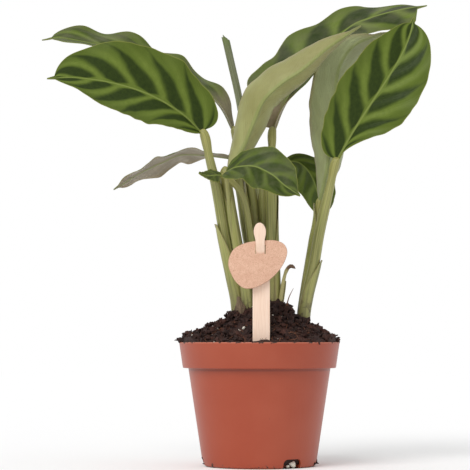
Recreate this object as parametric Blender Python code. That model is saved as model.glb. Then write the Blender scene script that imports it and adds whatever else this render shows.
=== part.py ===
"""A potted calathea: a nursery pot, its soil, a wooden label and ten striped leaves on their stalks.

Sizes below are in millimetres and are turned into metres where a mesh is made. The origin is the centre
of the pot's flat underside, +Z is up and the label faces -Y.
"""

import random
from dataclasses import dataclass, replace
from math import cos, pi, radians, sin

import bmesh
import bpy
from mathutils import Matrix, Vector, noise

MM = 0.001
GAP = 0.3  # between pieces that touch on the real plant

# Pot
POT_HEIGHT = 69.0
RIM_RADIUS = 45.0
BAND_FOOT_RADIUS = 43.0
BAND_HEIGHT = 14.4
BODY_TOP_RADIUS = 39.8
FOOT_RADIUS = 31.8
WALL = 1.2
FLOOR = 1.6
RIM_ROUNDING = 0.4
BAND_STEP = 0.9  # half the height over which the wall steps out to the band, inside
FLOOR_CORNER = 1.4  # the rounded corner between floor and wall, inside
FOOT_CORNER = 1.6  # the rounded edge of the foot, outside
POT_SIDES = 48
NOTCH_WIDTH = 11.5
NOTCH_HEIGHT = 5.0
NOTCH_REACH = 8.0  # how far each drain notch runs in under the floor
CUTTER_OVERRUN = 8.0  # how far a cutter stands out past what it cuts
NOTCH_ROUNDING = 2.4
NOTCH_COUNT = 3
FIRST_NOTCH = -56.0  # degrees round from +X to the drain notch that shows beside the front

# Soil
SOIL_EDGE = 2.5  # height of the soil over the rim, at the rim
SOIL_HEAP = 24.0
HEAP_CURVE = 1.2  # over 1 makes the heap's side hollow
SOIL_TOP = 20.0  # the heap is flattened above this height over the rim
TOP_FLATTENING = 4.0
SOIL_SLUMP = 7.0  # how far the soil has sunk at the front rim
SOIL_SHOULDER = 2.2  # the soil's rounded edge is this wide
SHOULDER_DROP = 1.0
SOIL_MARGIN = 0.8  # the soil's edge lies at least this far under the rim
SOIL_CLEARANCE = 0.45  # to the pot's wall, whose sides are more than the soil's
SOIL_SIDES = 40
SOIL_RINGS = 12
LUMP_SIZES = (6.0, 3.0)
LUMP_HEIGHTS = (1.5, 0.75)
CRUMBS = 34
CRUMB_SIZES = (1.6, 3.2)
CRUMB_REACH = 37.0
CRUMB_RAISE = 0.2  # share of a crumb's size that its middle lies over the heap
GOLDEN_TURN = 137.5  # degrees from one crumb to the next round a sunflower's spiral
HOLE_MARGIN = 12.0  # a hole's cutter ends this far over the heap
SEED = 11

# Label
STICK_WIDTH = 9.4
STICK_THICKNESS = 0.9
STICK_Y = -35.5
STICK_FOOT = 42.0
STICK_TOP = 134.0
FOOT_TAPER = 5.0  # height of the stick's narrowed foot
FOOT_NARROWING = 0.55
SHOULDER_Z = 108.0  # the neck starts to narrow here
NECK_Z = 112.0
NECK_WIDTH = 4.9
HEAD_WIDTH = 6.7
HEAD_Z = 129.0  # where the head is widest
TIP_HALF_WIDTH = 0.9
LEAN_START = 99.0  # over this height the stick leans to the left
STICK_LEAN = 0.9
STICK_X = 0.6
BEND_START = 114.5
BEND_END = 123.5
BEND_STEP = 2.3  # how far the neck comes forward through the plate's slot
PLATE_THICKNESS = 0.9
PLATE_LEAN = 6.0
SLOT_HEIGHT = 5.2
SLOT_CENTRE = (0.2, -36.65, 119.5)
PLATE_OUTLINE = [  # x and z seen from the front
    (-17.4, 111.0),
    (-16.0, 117.2),
    (-13.4, 120.4),
    (-8.7, 122.8),
    (-3.1, 124.0),
    (3.0, 124.5),
    (8.5, 124.4),
    (13.0, 122.4),
    (14.8, 118.4),
    (13.6, 113.4),
    (10.7, 108.4),
    (5.7, 103.2),
    (0.1, 99.7),
    (-5.4, 97.9),
    (-10.2, 98.8),
    (-14.6, 103.6),
]

# Leaves
BLADE_THICKNESS = 0.7
CELLS_ALONG = 16
CELLS_ACROSS = 3  # of each half
TAIL = 0.045  # share of the midrib that is the narrow tip
BASE_HALF_WIDTH = 0.9
TAIL_HALF_WIDTH = 0.4
TAIL_FLARE = 1.2  # how much wider the tail is where it leaves the blade
STALK_FOOT_Z = 60.0
STALK_POINTS = 18
CROWDING = 1.7  # a stalk's points lie closer together towards its knee
KNEE = 0.9  # the swollen joint under a blade starts at this share of the stalk
KNEE_SWELL = 0.28
KNEE_RUN = 4.0  # a stalk's last stretch, which is straight


@dataclass
class Half:
    """One half of a blade. Angles are at the base, the middle and the tip."""

    width: float
    rise: tuple = (20.0, 15.0, 10.0)  # degrees that it stands up from the midrib
    curl: tuple = (0.0, 0.0, 0.0)  # more degrees that it gains on its way to the margin
    wave: float = 1.2  # height of the margin's waves
    waves: float = 3.0
    phase: float = 0.0
    fullness: float = 0.6  # less keeps it wide towards the base
    bluntness: float = 0.0  # taken in place of the leaf's own, unless it is 0


@dataclass
class Leaf:
    name: str
    midrib: list  # from the base to the tip
    face: tuple  # where the upper side looks at the base, the middle and the tip
    left: Half
    right: Half
    stalk: list  # from the soil up, without its ends
    foot: tuple  # where it enters the soil's depth, x and y
    colour: tuple
    radii: tuple = (2.6, 1.8)  # stalk at its foot and under the knee
    widest: float = 0.42  # where along it the blade is widest
    bluntness: float = 0.85  # less than 1 keeps it wide towards the tip
    knee: tuple = ()  # where the stalk heads as it reaches a blade that turns sharply from it
    stalk_colour: tuple = (0.26, 0.28, 0.09)


STRIPED = (0.06, 0.15, 0.02)
PALE = (0.38, 0.42, 0.16)
GREY_GREEN = (0.26, 0.33, 0.18)
SHADED = (0.03, 0.07, 0.02)
UNDERSIDE = (0.24, 0.22, 0.15)

LEAVES = [
    Leaf(
        name="front_left",
        midrib=[(-32.7, -14, 186.2), (-43.8, -18, 196.4), (-60.8, -23, 205.9), (-80, -28, 211.6),
                (-100, -33, 214), (-116.6, -37, 213.1)],
        face=((0.2, -0.85, 0.45), (0.1, -0.85, 0.5), (0, -0.75, 0.65)),
        left=Half(24.5, rise=(35, 8, 15), curl=(0, 10, 20), wave=1.0, waves=3.2, phase=0.5),
        right=Half(26.5, rise=(20, 18, 15), wave=1.0, waves=3.4, phase=0.2, fullness=0.32),
        stalk=[(-12.0, -3, 88), (-15.3, -4, 106.7), (-19.2, -6, 126.3), (-23.9, -9, 154.2),
               (-28.0, -12, 171.9)],
        foot=(-11.6, -3),
        colour=STRIPED,
        radii=(2.8, 2.5),
        widest=0.5,
        bluntness=0.55,
    ),
    Leaf(
        name="back_left",
        midrib=[(-14.8, 14, 191.6), (-20, 15, 202.1), (-26.4, 17, 209.9), (-35.6, 19, 216),
                (-57.1, 23, 227), (-83.5, 27, 238.7), (-112.3, 30, 245.8), (-126.3, 30, 245)],
        face=((0.8, -0.3, 0.5), (0.1, -0.35, 0.9), (0, -0.35, 0.9)),
        left=Half(20, rise=(15, 8, 8), wave=1.6, waves=3.0, phase=0.0),
        right=Half(20, rise=(12, 16, 20), wave=2.6, waves=4.3, phase=0.52),
        stalk=[(-4.6, 8.5, 95), (-2.2, 10, 127.1), (-4.4, 9.3, 155.5), (-10.8, 11, 175.8)],
        foot=(-5.2, 7.7),
        colour=STRIPED,
        radii=(2.6, 2.0),
        widest=0.6,
        bluntness=0.42,
    ),
    Leaf(
        name="low_left",
        midrib=[(-16.5, 6, 174.2), (-29.7, 10, 176), (-44.6, 12, 176.4), (-54.4, 14, 172.6),
                (-63.5, 14.5, 168.4), (-70.4, 14, 164.6), (-83.1, 12, 156.1)],
        face=((-0.1, 0.15, 1), (-0.3, 0.2, 0.9), (-0.5, 0.25, 0.8)),
        left=Half(11.5, rise=(10, 5, 5), curl=(0, -20, 0), wave=1.4, waves=3.3, phase=0.3),
        right=Half(11.5, rise=(10, -5, -5), curl=(0, -20, 0), wave=1.4, waves=3.4, phase=0.6),
        stalk=[(0.4, 4.8, 95), (-6.6, 4, 126.8), (-10.4, 4, 152.2), (-13.1, 5, 166.7)],
        foot=(1.5, 5.3),
        colour=UNDERSIDE,
        radii=(2.5, 2.1),
        widest=0.5,
        bluntness=0.5,
    ),
    Leaf(
        name="pale_centre",
        midrib=[(-17.1, -6, 165.4), (-9.2, -8, 177.9), (-3.1, -11, 192.2), (2.5, -15, 204.1),
                (12.5, -17, 213.4), (24.3, -17, 221.2), (38.4, -14, 233.5), (57.2, -9, 246.8)],
        face=((-0.2, 1, 0.1), (-0.3, 0.9, 0.3), (-0.3, 0.9, 0.3)),
        left=Half(21, rise=(25, 18, 25), curl=(60, 60, 60), wave=0.5, waves=2.0, phase=0.3),
        right=Half(19, rise=(35, 40, 35), curl=(60, 60, 60), wave=0.5, waves=2.0, phase=0.6),
        stalk=[(-6.5, -0.3, 89.9), (-9.4, -1.6, 106.7), (-13.0, -3, 126.4), (-17.3, -5, 150)],
        foot=(-5.8, -0.2),
        colour=PALE,
        radii=(2.8, 3.0),
        widest=0.42,
        bluntness=0.8,
    ),
    Leaf(
        name="upper_right",
        midrib=[(8.5, 10, 191), (14.4, 16, 205.3), (28.5, 23, 228.3), (51.9, 27, 251.3), (65.1, 27, 257.4),
                (81.6, 25, 261.9), (97.6, 22, 264.0)],
        face=((-0.75, -0.6, 0.3), (-0.35, -0.45, 0.8), (0, -0.3, 0.95)),
        left=Half(25.5, rise=(38, 22, 0), wave=1.4, waves=4.4, phase=0.3, fullness=0.28, bluntness=0.6),
        right=Half(17, rise=(35, 0, -45), wave=1.0, waves=3.0, phase=0.1),
        stalk=[(8.4, -2, 92.7), (7.1, -1, 126.5), (6.6, 0, 154.9), (7.3, 6, 178.1)],
        foot=(8.6, -2.3),
        colour=STRIPED,
        radii=(3.2, 2.9),
        widest=0.22,
        bluntness=0.15,
    ),
    Leaf(
        name="pale_right",
        midrib=[(34.6, 6, 149.6), (39, 3, 169.3), (41.3, 2, 192), (43, 1, 209), (45.9, 1, 225.5),
                (55.2, 0, 237.9), (74, 2, 245.0)],
        face=((0, 1, 0), (-0.1, 1, 0.1), (-0.4, 0.6, 0.6)),
        left=Half(21, rise=(30, 25, 10), curl=(60, 50, 10), wave=0.5, waves=2.0, phase=0.0, bluntness=0.35),
        right=Half(16, rise=(30, 14, 5), curl=(60, 40, 10), wave=0.5, waves=2.0, phase=0.4),
        stalk=[(24.8, 6.2, 82), (26.5, 6, 95.7), (29.4, 6, 112.7), (32.3, 6, 129.7)],
        foot=(24.5, 6.3),
        colour=GREY_GREEN,
        radii=(2.6, 2.6),
        widest=0.5,
        bluntness=1.1,
    ),
    Leaf(
        name="front_right",
        midrib=[(44, -4, 171.8), (53.5, -8, 188.5), (60.9, -11, 200.1), (74.2, -14, 220.5),
                (82.8, -12, 236.6), (87.2, -8, 252)],
        face=((-0.3, -0.95, 0.15), (-0.1, -1, 0.1), (0.1, -1, 0.1)),
        left=Half(21.5, rise=(15, 14, 15), wave=0.9, waves=3.0, phase=0.2, fullness=0.33),
        right=Half(22.5, rise=(12, 8, 15), wave=1.2, waves=3.6, phase=0.5, fullness=1.9),
        stalk=[(24.8, -0.5, 81.5), (26.8, -1, 95.5), (30.8, -1, 112.4), (33.7, -1, 129.3),
               (37.2, -1, 145.2), (40.2, -2, 158)],
        foot=(24.4, -0.5),
        colour=STRIPED,
        radii=(2.8, 2.5),
        widest=0.48,
        bluntness=0.5,
    ),
    Leaf(
        name="back_right",
        midrib=[(10.5, 23, 171), (17, 26, 173.5), (24, 27, 172.5), (30, 26.5, 166), (34, 25, 155),
                (35.5, 22, 140)],
        face=((0.3, -0.6, 0.7), (0.5, -0.8, 0.3), (0.5, -0.8, 0.1)),
        left=Half(14, rise=(10, 5, 5), wave=0.6, waves=2.2, phase=0.2, fullness=2.0),
        right=Half(9.5, rise=(10, 10, 10), wave=0.4, waves=2.2, phase=0.5, fullness=1.0),
        stalk=[(6.2, 5, 95), (3.9, 7, 126.9), (2.2, 8, 155.5), (6.4, 16, 170.5)],
        foot=(7.9, 4.6),
        colour=SHADED,
        radii=(2.5, 1.7),
        widest=0.55,
        bluntness=0.55,
    ),
    Leaf(
        name="front_middle",
        midrib=[(-18.7, -23, 163.2), (-13.1, -27, 165.3), (-3.3, -31, 165.4), (6.6, -35, 160.4),
                (13.6, -38, 154.1), (21.7, -40, 148.5)],
        face=((0, -0.6, 0.8), (0, -0.75, 0.65), (0.2, -0.8, 0.5)),
        left=Half(14.5, rise=(15, 15, 10), wave=0.8, waves=2.6, phase=0.1),
        right=Half(16.5, rise=(5, 10, 10), wave=1.4, waves=2.4, phase=0.4, fullness=0.4),
        stalk=[(-7.0, -7.4, 93), (-10.2, -9.2, 110), (-13.8, -12, 128), (-17.3, -17, 150)],
        foot=(-5.4, -6.9),
        colour=STRIPED,
        radii=(2.4, 1.6),
        widest=0.5,
        bluntness=0.6,
        knee=(-0.5, -0.1, 0.8),
    ),
    Leaf(
        name="small_left",
        midrib=[(-21, -15, 162.0), (-24.6, -17.6, 161.8), (-28.2, -20.6, 161.2), (-31.4, -23.3, 161.6),
                (-33.6, -25, 162.2)],
        face=((0.3, -0.75, 0.6), (0.3, -0.75, 0.6), (0.2, -0.75, 0.6)),
        left=Half(6, rise=(10, 10, 10), wave=0.5, waves=2.0, phase=0.0, fullness=2.0),
        right=Half(5, rise=(10, -15, 0), wave=0.4, waves=2.0, phase=0.5),
        stalk=[(0.5, -1.8, 95), (-4.7, -5, 126.3), (-9.2, -9, 150)],
        foot=(1.8, -1.0),
        colour=STRIPED,
        radii=(2.2, 1.4),
        knee=(-0.7, -0.5, 0.4),
    ),
]

SPEAR_POINTS = [(4, 11.5), (3.6, 11.8, 95), (1.7, 14, 127.3), (-1.1, 17, 156.2), (-7.3, 26, 185.8),
                (-11.9, 31, 212.3), (-16.2, 32, 231.8), (-20.0, 32, 248.6)]
SPEAR_RADII = (2.3, 2.5)

SHOOT_POINTS = [(10.6, -8.5, 70), (11.0, -7.5, 82), (11.9, -6, 92), (13.6, -6, 103.8), (15.3, -7, 109.4),
                (17.6, -8, 111.6), (20.1, -9, 110.1)]
SHOOT_RADII = (1.5, 1.0)

SHEATH_CELLS = 8
SHEATH = Leaf(
    name="dead_sheath",
    midrib=[(-9.2, -12.6, 72), (-9.6, -12.8, 80.3), (-10.4, -12.8, 87), (-11.9, -12.6, 94.5)],
    face=((0, -1, 0), (0, -1, 0.1), (-0.1, -1, 0.2)),
    left=Half(6, rise=(-25, -30, -30), curl=(-20, -20, -20), wave=0.4, waves=1.5, phase=0.2),
    right=Half(5, rise=(-25, -30, -30), curl=(-20, -20, -20), wave=0.4, waves=1.5, phase=0.6),
    stalk=[],
    foot=(0, 0),
    colour=(0.17, 0.12, 0.07),
    widest=0.5,
)


def clear_scene():
    for obj in list(bpy.data.objects):
        bpy.data.objects.remove(obj, do_unlink=True)


def material(name, colour, roughness, metallic=0.0):
    made = bpy.data.materials.new(name)
    made.use_nodes = True
    shader = made.node_tree.nodes["Principled BSDF"]
    shader.inputs["Base Color"].default_value = (*colour, 1.0)
    shader.inputs["Roughness"].default_value = roughness
    shader.inputs["Metallic"].default_value = metallic
    return made


def add_object(name, data, finish):
    obj = bpy.data.objects.new(name, data)
    bpy.context.collection.objects.link(obj)
    data.materials.append(finish)
    return obj


def as_cutter(obj):
    obj.hide_render = True
    obj.display_type = "WIRE"
    return obj


def mesh_from(bm, name, smooth=True):
    """Turns the bmesh, in millimetres, into a mesh in metres with its faces pointing out."""
    bmesh.ops.recalc_face_normals(bm, faces=bm.faces)
    bmesh.ops.scale(bm, vec=(MM, MM, MM), verts=bm.verts)
    mesh = bpy.data.meshes.new(name)
    bm.to_mesh(mesh)
    bm.free()
    if smooth:
        mesh.shade_smooth()
        mesh.set_sharp_from_angle(angle=radians(40))
    return mesh


def through_three(values, t):
    """A value at t on the smooth curve through the values at 0, a half and 1."""
    start, middle, end = values
    return start * (2 * t - 1) * (t - 1) + middle * 4 * t * (1 - t) + end * t * (2 * t - 1)


def curve_point(points, u):
    """A point at u, from 0 to 1, of the smooth curve that passes through all the points."""
    last = len(points) - 1
    index = min(int(u * last), last - 1)
    t = u * last - index
    before = points[index - 1] if index else points[0] * 2 - points[1]
    after = points[index + 2] if index + 2 <= last else points[last] * 2 - points[last - 1]
    here, there = points[index], points[index + 1]
    slope_in = (there - before) / 2
    slope_out = (after - here) / 2
    t2, t3 = t * t, t * t * t
    return (
        here * (2 * t3 - 3 * t2 + 1)
        + slope_in * (t3 - 2 * t2 + t)
        + there * (3 * t2 - 2 * t3)
        + slope_out * (t3 - t2)
    )


def even_points(points, count, crowding=1.0):
    """count + 1 points along the smooth curve through the points, at even steps of length.

    A crowding over 1 sets them closer together towards the end.
    """
    fine = 240
    samples = [curve_point(points, i / fine) for i in range(fine + 1)]
    lengths = [0.0]
    for a, b in zip(samples, samples[1:]):
        lengths.append(lengths[-1] + (b - a).length)
    found = []
    k = 0
    for i in range(count + 1):
        wanted = lengths[-1] * (1 - (1 - i / count) ** crowding)
        while k < fine - 1 and lengths[k + 1] < wanted:
            k += 1
        share = (wanted - lengths[k]) / (lengths[k + 1] - lengths[k])
        found.append(samples[k].lerp(samples[k + 1], min(share, 1.0)))
    return found


def tangents(points):
    """The unit direction of the line at each of its points."""
    found = []
    for i in range(len(points)):
        ahead = points[min(i + 1, len(points) - 1)]
        behind = points[max(i - 1, 0)]
        found.append((ahead - behind).normalized())
    return found


def outline(leaf, half, t):
    """Half-width of a blade as a share of its greatest: round at the base, then drawn out to the tail."""
    t = t / (1 - TAIL)
    if t >= 1:
        return 0.0
    if t < leaf.widest:
        return sin(pi / 2 * t / leaf.widest) ** half.fullness
    bluntness = half.bluntness or leaf.bluntness
    return cos(pi / 2 * (t - leaf.widest) / (1 - leaf.widest)) ** bluntness


def least_width(t):
    """Half-width that a blade keeps: at its base, and along the tail that narrows to the tip."""
    if t < 0.5:
        return BASE_HALF_WIDTH
    return TAIL_HALF_WIDTH + TAIL_FLARE * min((1 - t) / TAIL, 1.0)


def half_line(half, share_here, t, centre, side, up):
    """Points from the midrib to the margin of one half, at t along the blade."""
    width = max(half.width * share_here, least_width(t))
    rise = through_three(half.rise, t)
    curl = through_three(half.curl, t)
    point = centre.copy()
    line = []
    for i in range(CELLS_ACROSS):
        angle = radians(rise + curl * (i + 0.5) / CELLS_ACROSS)
        point = point + (side * cos(angle) + up * sin(angle)) * (width / CELLS_ACROSS)
        share = (i + 1) / CELLS_ACROSS
        swing = half.wave * share_here * share**2
        line.append(point + up * swing * sin(2 * pi * (half.waves * t + half.phase)))
    return line


def blade_grid(leaf, cells_along=CELLS_ALONG):
    """Rows of points from margin to margin, from the base of the blade to its tip."""
    middle = even_points([Vector(p) for p in leaf.midrib], cells_along)
    rows = []
    for i, (centre, along) in enumerate(zip(middle, tangents(middle))):
        t = i / cells_along
        face = through_three([Vector(f) for f in leaf.face], t)
        up = (face - along * face.dot(along)).normalized()
        side = along.cross(up)
        left = half_line(leaf.left, outline(leaf, leaf.left, t), t, centre, -side, up)
        right = half_line(leaf.right, outline(leaf, leaf.right, t), t, centre, side, up)
        rows.append([*reversed(left), centre, *right])
    return rows


def triangle_sheet(rows, name):
    """A sheet of triangles over rows of points of equal length."""
    bm = bmesh.new()
    verts = [[bm.verts.new(p) for p in row] for row in rows]
    for upper, lower in zip(verts, verts[1:]):
        for k in range(len(upper) - 1):
            bm.faces.new((upper[k], lower[k], lower[k + 1]))
            bm.faces.new((upper[k], lower[k + 1], upper[k + 1]))
    return mesh_from(bm, name)


def thicken(obj, thickness):
    solid = obj.modifiers.new("Thickness", "SOLIDIFY")
    solid.thickness = thickness * MM
    solid.offset = 0.0
    solid.use_even_offset = False
    return obj


def add_blade(leaf):
    mesh = triangle_sheet(blade_grid(leaf), "blade_" + leaf.name)
    finish = material("blade_" + leaf.name, leaf.colour, 0.45)
    return thicken(add_object("blade_" + leaf.name, mesh, finish), BLADE_THICKNESS)


def round_bar(name, points, radii, finish, sides=8):
    """A curve with a round bevel and filled caps. radii has one radius for each point."""
    curve = bpy.data.curves.new(name, "CURVE")
    curve.dimensions = "3D"
    curve.bevel_depth = MM
    curve.bevel_resolution = sides // 2 - 2
    curve.use_fill_caps = True
    curve.twist_mode = "MINIMUM"
    spline = curve.splines.new("POLY")
    spline.points.add(len(points) - 1)
    for point, place, radius in zip(spline.points, points, radii):
        point.co = (*(place * MM), 1.0)
        point.radius = radius
    return add_object(name, curve, finish)


def stalk_route(leaf):
    """Points of a stalk, from its foot in the soil to just under its blade."""
    base = Vector(leaf.midrib[0])
    heading = (Vector(leaf.midrib[1]) - base).normalized()
    foot = Vector((*leaf.foot, STALK_FOOT_Z))
    arrival = heading
    end = base - heading * GAP
    if leaf.knee:
        top = leaf.radii[1]
        arrival = Vector(leaf.knee).normalized()
        end = base - heading * (top * (1 + KNEE_SWELL) + GAP) + arrival * top
    points = [foot, *map(Vector, leaf.stalk), end - arrival * KNEE_RUN, end]
    return even_points(points, STALK_POINTS, CROWDING)


def stalk_radii(leaf, extra=0.0):
    """A stalk thins upward, and swells at its knee."""
    foot, top = leaf.radii
    found = []
    for i in range(STALK_POINTS + 1):
        t = 1 - (1 - i / STALK_POINTS) ** CROWDING
        swell = sin(pi * (t - KNEE) / (1 - KNEE)) * KNEE_SWELL if t > KNEE else 0.0
        found.append((foot + (top - foot) * t) * (1 + swell) + extra)
    return found


def add_stalk(leaf):
    finish = material("stalk_" + leaf.name, leaf.stalk_colour, 0.4)
    return round_bar("stalk_" + leaf.name, stalk_route(leaf), stalk_radii(leaf), finish)


def spear_route():
    foot = Vector((*SPEAR_POINTS[0], STALK_FOOT_Z))
    return even_points([foot, *map(Vector, SPEAR_POINTS[1:])], STALK_POINTS)


def spear_radii(extra=0.0):
    foot, top = SPEAR_RADII
    return [foot + (top - foot) * i / STALK_POINTS + extra for i in range(STALK_POINTS + 1)]


def add_spear():
    finish = material("furled_spear", (0.22, 0.26, 0.13), 0.5)
    return round_bar("furled_spear", spear_route(), spear_radii(), finish)


def shoot_route():
    return even_points([Vector(p) for p in SHOOT_POINTS], STALK_POINTS)


def shoot_radii(extra=0.0):
    foot, top = SHOOT_RADII
    return [foot + (top - foot) * i / STALK_POINTS + extra for i in range(STALK_POINTS + 1)]


def add_shoot():
    finish = material("young_shoot", (0.30, 0.33, 0.12), 0.5)
    return round_bar("young_shoot", shoot_route(), shoot_radii(), finish)


def pot_inner_radius(z):
    """Radius of the pot's inner wall at height z."""
    points = [(z0, r0) for r0, z0 in inner_profile()[1:]]
    for (z0, r0), (z1, r1) in zip(points, points[1:]):
        if z <= z1:
            return r0 + (r1 - r0) * max(z - z0, 0.0) / (z1 - z0)
    return points[-1][1]


def inner_profile():
    """Radius and height of the pot's inside, from the middle of its floor to its mouth."""
    shoulder = POT_HEIGHT - BAND_HEIGHT
    return [
        (0.0, FLOOR),
        (FOOT_RADIUS - WALL - FLOOR_CORNER, FLOOR),
        (FOOT_RADIUS - WALL + FLOOR_CORNER / 7, FLOOR + FLOOR_CORNER),
        (BODY_TOP_RADIUS - WALL, shoulder - BAND_STEP),
        (BAND_FOOT_RADIUS - WALL, shoulder + BAND_STEP),
        (RIM_RADIUS - WALL, POT_HEIGHT - RIM_ROUNDING),
    ]


def outer_profile():
    """Radius and height of the pot's rim and outside, from its mouth to the middle of its underside."""
    shoulder = POT_HEIGHT - BAND_HEIGHT
    return [
        (RIM_RADIUS - WALL + RIM_ROUNDING, POT_HEIGHT),
        (RIM_RADIUS - RIM_ROUNDING, POT_HEIGHT),
        (RIM_RADIUS, POT_HEIGHT - RIM_ROUNDING),
        (BAND_FOOT_RADIUS, shoulder + RIM_ROUNDING),
        (BAND_FOOT_RADIUS - RIM_ROUNDING, shoulder),
        (BODY_TOP_RADIUS + RIM_ROUNDING, shoulder - RIM_ROUNDING / 2),
        (BODY_TOP_RADIUS, shoulder - 2 * RIM_ROUNDING),
        (FOOT_RADIUS + FOOT_CORNER / 6, 1.6 * FOOT_CORNER),
        (FOOT_RADIUS - FOOT_CORNER / 4, FOOT_CORNER / 2),
        (FOOT_RADIUS - FOOT_CORNER, 0.0),
        (0.0, 0.0),
    ]


def turned(name, profile, finish, sides):
    """A solid turned round Z from its profile, which runs down its outer side."""
    bm = bmesh.new()
    verts = [bm.verts.new((r * MM, 0.0, z * MM)) for r, z in profile]
    for a, b in zip(verts, verts[1:]):
        bm.edges.new((a, b))
    mesh = bpy.data.meshes.new(name)
    bm.to_mesh(mesh)
    bm.free()
    obj = add_object(name, mesh, finish)
    screw = obj.modifiers.new("Turn", "SCREW")
    screw.steps = sides
    screw.render_steps = sides
    screw.use_merge_vertices = True
    screw.merge_threshold = 0.0001
    screw.use_smooth_shade = True
    return obj


def notch_cutter(index):
    """A rounded block that cuts one drain notch from the pot's foot."""
    bm = bmesh.new()
    bmesh.ops.create_cube(bm, size=1.0)
    length = NOTCH_REACH + CUTTER_OVERRUN
    size = Matrix.Diagonal((length, NOTCH_WIDTH, 2 * NOTCH_HEIGHT, 1))
    bmesh.ops.transform(bm, matrix=size, verts=bm.verts)
    lengthwise = [e for e in bm.edges if abs((e.verts[0].co - e.verts[1].co).x) > length / 2]
    bmesh.ops.bevel(bm, geom=lengthwise, offset=NOTCH_ROUNDING, segments=3, profile=0.5, affect="EDGES")
    turn = Matrix.Rotation(radians(FIRST_NOTCH + 360 / NOTCH_COUNT * index), 4, "Z")
    shift = Matrix.Translation((FOOT_RADIUS - NOTCH_REACH + length / 2, 0, 0))
    bmesh.ops.transform(bm, matrix=turn @ shift, verts=bm.verts)
    name = f"notch_cutter_{index + 1}"
    mesh = mesh_from(bm, name)
    return as_cutter(add_object(name, mesh, bpy.data.materials["pot"]))


def cut(obj, cutter):
    boolean = obj.modifiers.new(cutter.name, "BOOLEAN")
    boolean.operation = "DIFFERENCE"
    boolean.solver = "EXACT"
    boolean.object = cutter


def add_pot():
    finish = material("pot", (0.40, 0.10, 0.05), 0.5)
    pot = turned("pot", inner_profile() + outer_profile(), finish, POT_SIDES)
    for index in range(NOTCH_COUNT):
        cut(pot, notch_cutter(index))
    return pot


def soil_height(x, y):
    """Height of the heaped soil at a place: a cone with a flattened top, sunk at the front, lumpy."""
    radius = (x * x + y * y) ** 0.5
    share = max(1 - radius / (RIM_RADIUS - WALL), 0.0)
    heap = SOIL_EDGE + SOIL_HEAP * share**HEAP_CURVE
    heap = min(heap, SOIL_TOP + (heap - SOIL_TOP) / TOP_FLATTENING)
    front = max(-y / RIM_RADIUS, 0.0)
    lumps = 0.0
    for size, height in zip(LUMP_SIZES, LUMP_HEIGHTS):
        lumps += height * noise.noise(Vector((x, y, size)) / size)
    return POT_HEIGHT + heap - SOIL_SLUMP * front**2 + lumps


def soil_rings():
    """Rings of points, from the middle of the soil's top over its edge and down to its underside."""
    rings = []
    mouth = RIM_RADIUS - WALL - GAP
    for k in range(1, SOIL_RINGS):
        radius = (mouth - SOIL_SHOULDER) * k / (SOIL_RINGS - 1)
        ring = []
        for i in range(SOIL_SIDES):
            angle = 2 * pi * (i + 0.5 * (k % 2)) / SOIL_SIDES
            x, y = radius * cos(angle), radius * sin(angle)
            ring.append((x, y, soil_height(x, y)))
        rings.append(ring)
    edge = []
    for i in range(SOIL_SIDES):
        angle = 2 * pi * (i + 0.5) / SOIL_SIDES
        x, y = mouth * cos(angle), mouth * sin(angle)
        z = min(soil_height(x, y) - SHOULDER_DROP, POT_HEIGHT - SOIL_MARGIN)
        radius = pot_inner_radius(z) - SOIL_CLEARANCE
        edge.append((radius * cos(angle), radius * sin(angle), z))
    rings.append(edge)
    lower = [(r - SOIL_CLEARANCE, z + GAP) for r, z in reversed(inner_profile()[1:-1])]
    for radius, z in lower:
        turns = [2 * pi * (i + 0.5) / SOIL_SIDES for i in range(SOIL_SIDES)]
        rings.append([(radius * cos(a), radius * sin(a), z) for a in turns])
    return rings


def soil_body():
    bm = bmesh.new()
    rings = [[bm.verts.new(p) for p in ring] for ring in soil_rings()]
    top = bm.verts.new((0, 0, soil_height(0, 0)))
    bottom = bm.verts.new((0, 0, FLOOR + GAP))
    for i in range(SOIL_SIDES):
        j = (i + 1) % SOIL_SIDES
        bm.faces.new((top, rings[0][i], rings[0][j]))
        bm.faces.new((bottom, rings[-1][j], rings[-1][i]))
        for k, (inner, outer) in enumerate(zip(rings, rings[1:])):
            if k % 2:
                bm.faces.new((inner[i], outer[i], outer[j]))
                bm.faces.new((inner[i], outer[j], inner[j]))
            else:
                bm.faces.new((inner[i], outer[i], inner[j]))
                bm.faces.new((outer[i], outer[j], inner[j]))
    finish = material("soil", (0.030, 0.020, 0.014), 0.95)
    return add_object("soil", mesh_from(bm, "soil", smooth=False), finish)


def add_crumb(index, rng, finish):
    """A crumb of soil, sunk well into the heap. Crumbs follow a sunflower's spiral."""
    turn = index * radians(GOLDEN_TURN)
    radius = CRUMB_REACH * ((index + 0.5) / CRUMBS) ** 0.5
    x, y = radius * cos(turn), radius * sin(turn)
    size = rng.uniform(*CRUMB_SIZES)
    bm = bmesh.new()
    bmesh.ops.create_icosphere(bm, subdivisions=1, radius=size)
    for vert in bm.verts:
        vert.co *= rng.uniform(0.8, 1.2)
    place = Matrix.Translation((x, y, soil_height(x, y) + CRUMB_RAISE * size))
    flat = Matrix.Diagonal((1.0, rng.uniform(0.7, 1.0), rng.uniform(0.6, 0.9), 1.0))
    spin = Matrix.Rotation(rng.uniform(0, pi), 4, "Z")
    bmesh.ops.transform(bm, matrix=place @ spin @ flat, verts=bm.verts)
    name = f"crumb_{index}"
    return add_object(name, mesh_from(bm, name, smooth=False), finish)


def apply_modifiers(obj):
    """Replaces the object's mesh by the one that its modifiers make."""
    graph = bpy.context.evaluated_depsgraph_get()
    mesh = bpy.data.meshes.new_from_object(obj.evaluated_get(graph))
    obj.modifiers.clear()
    obj.data = mesh


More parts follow.
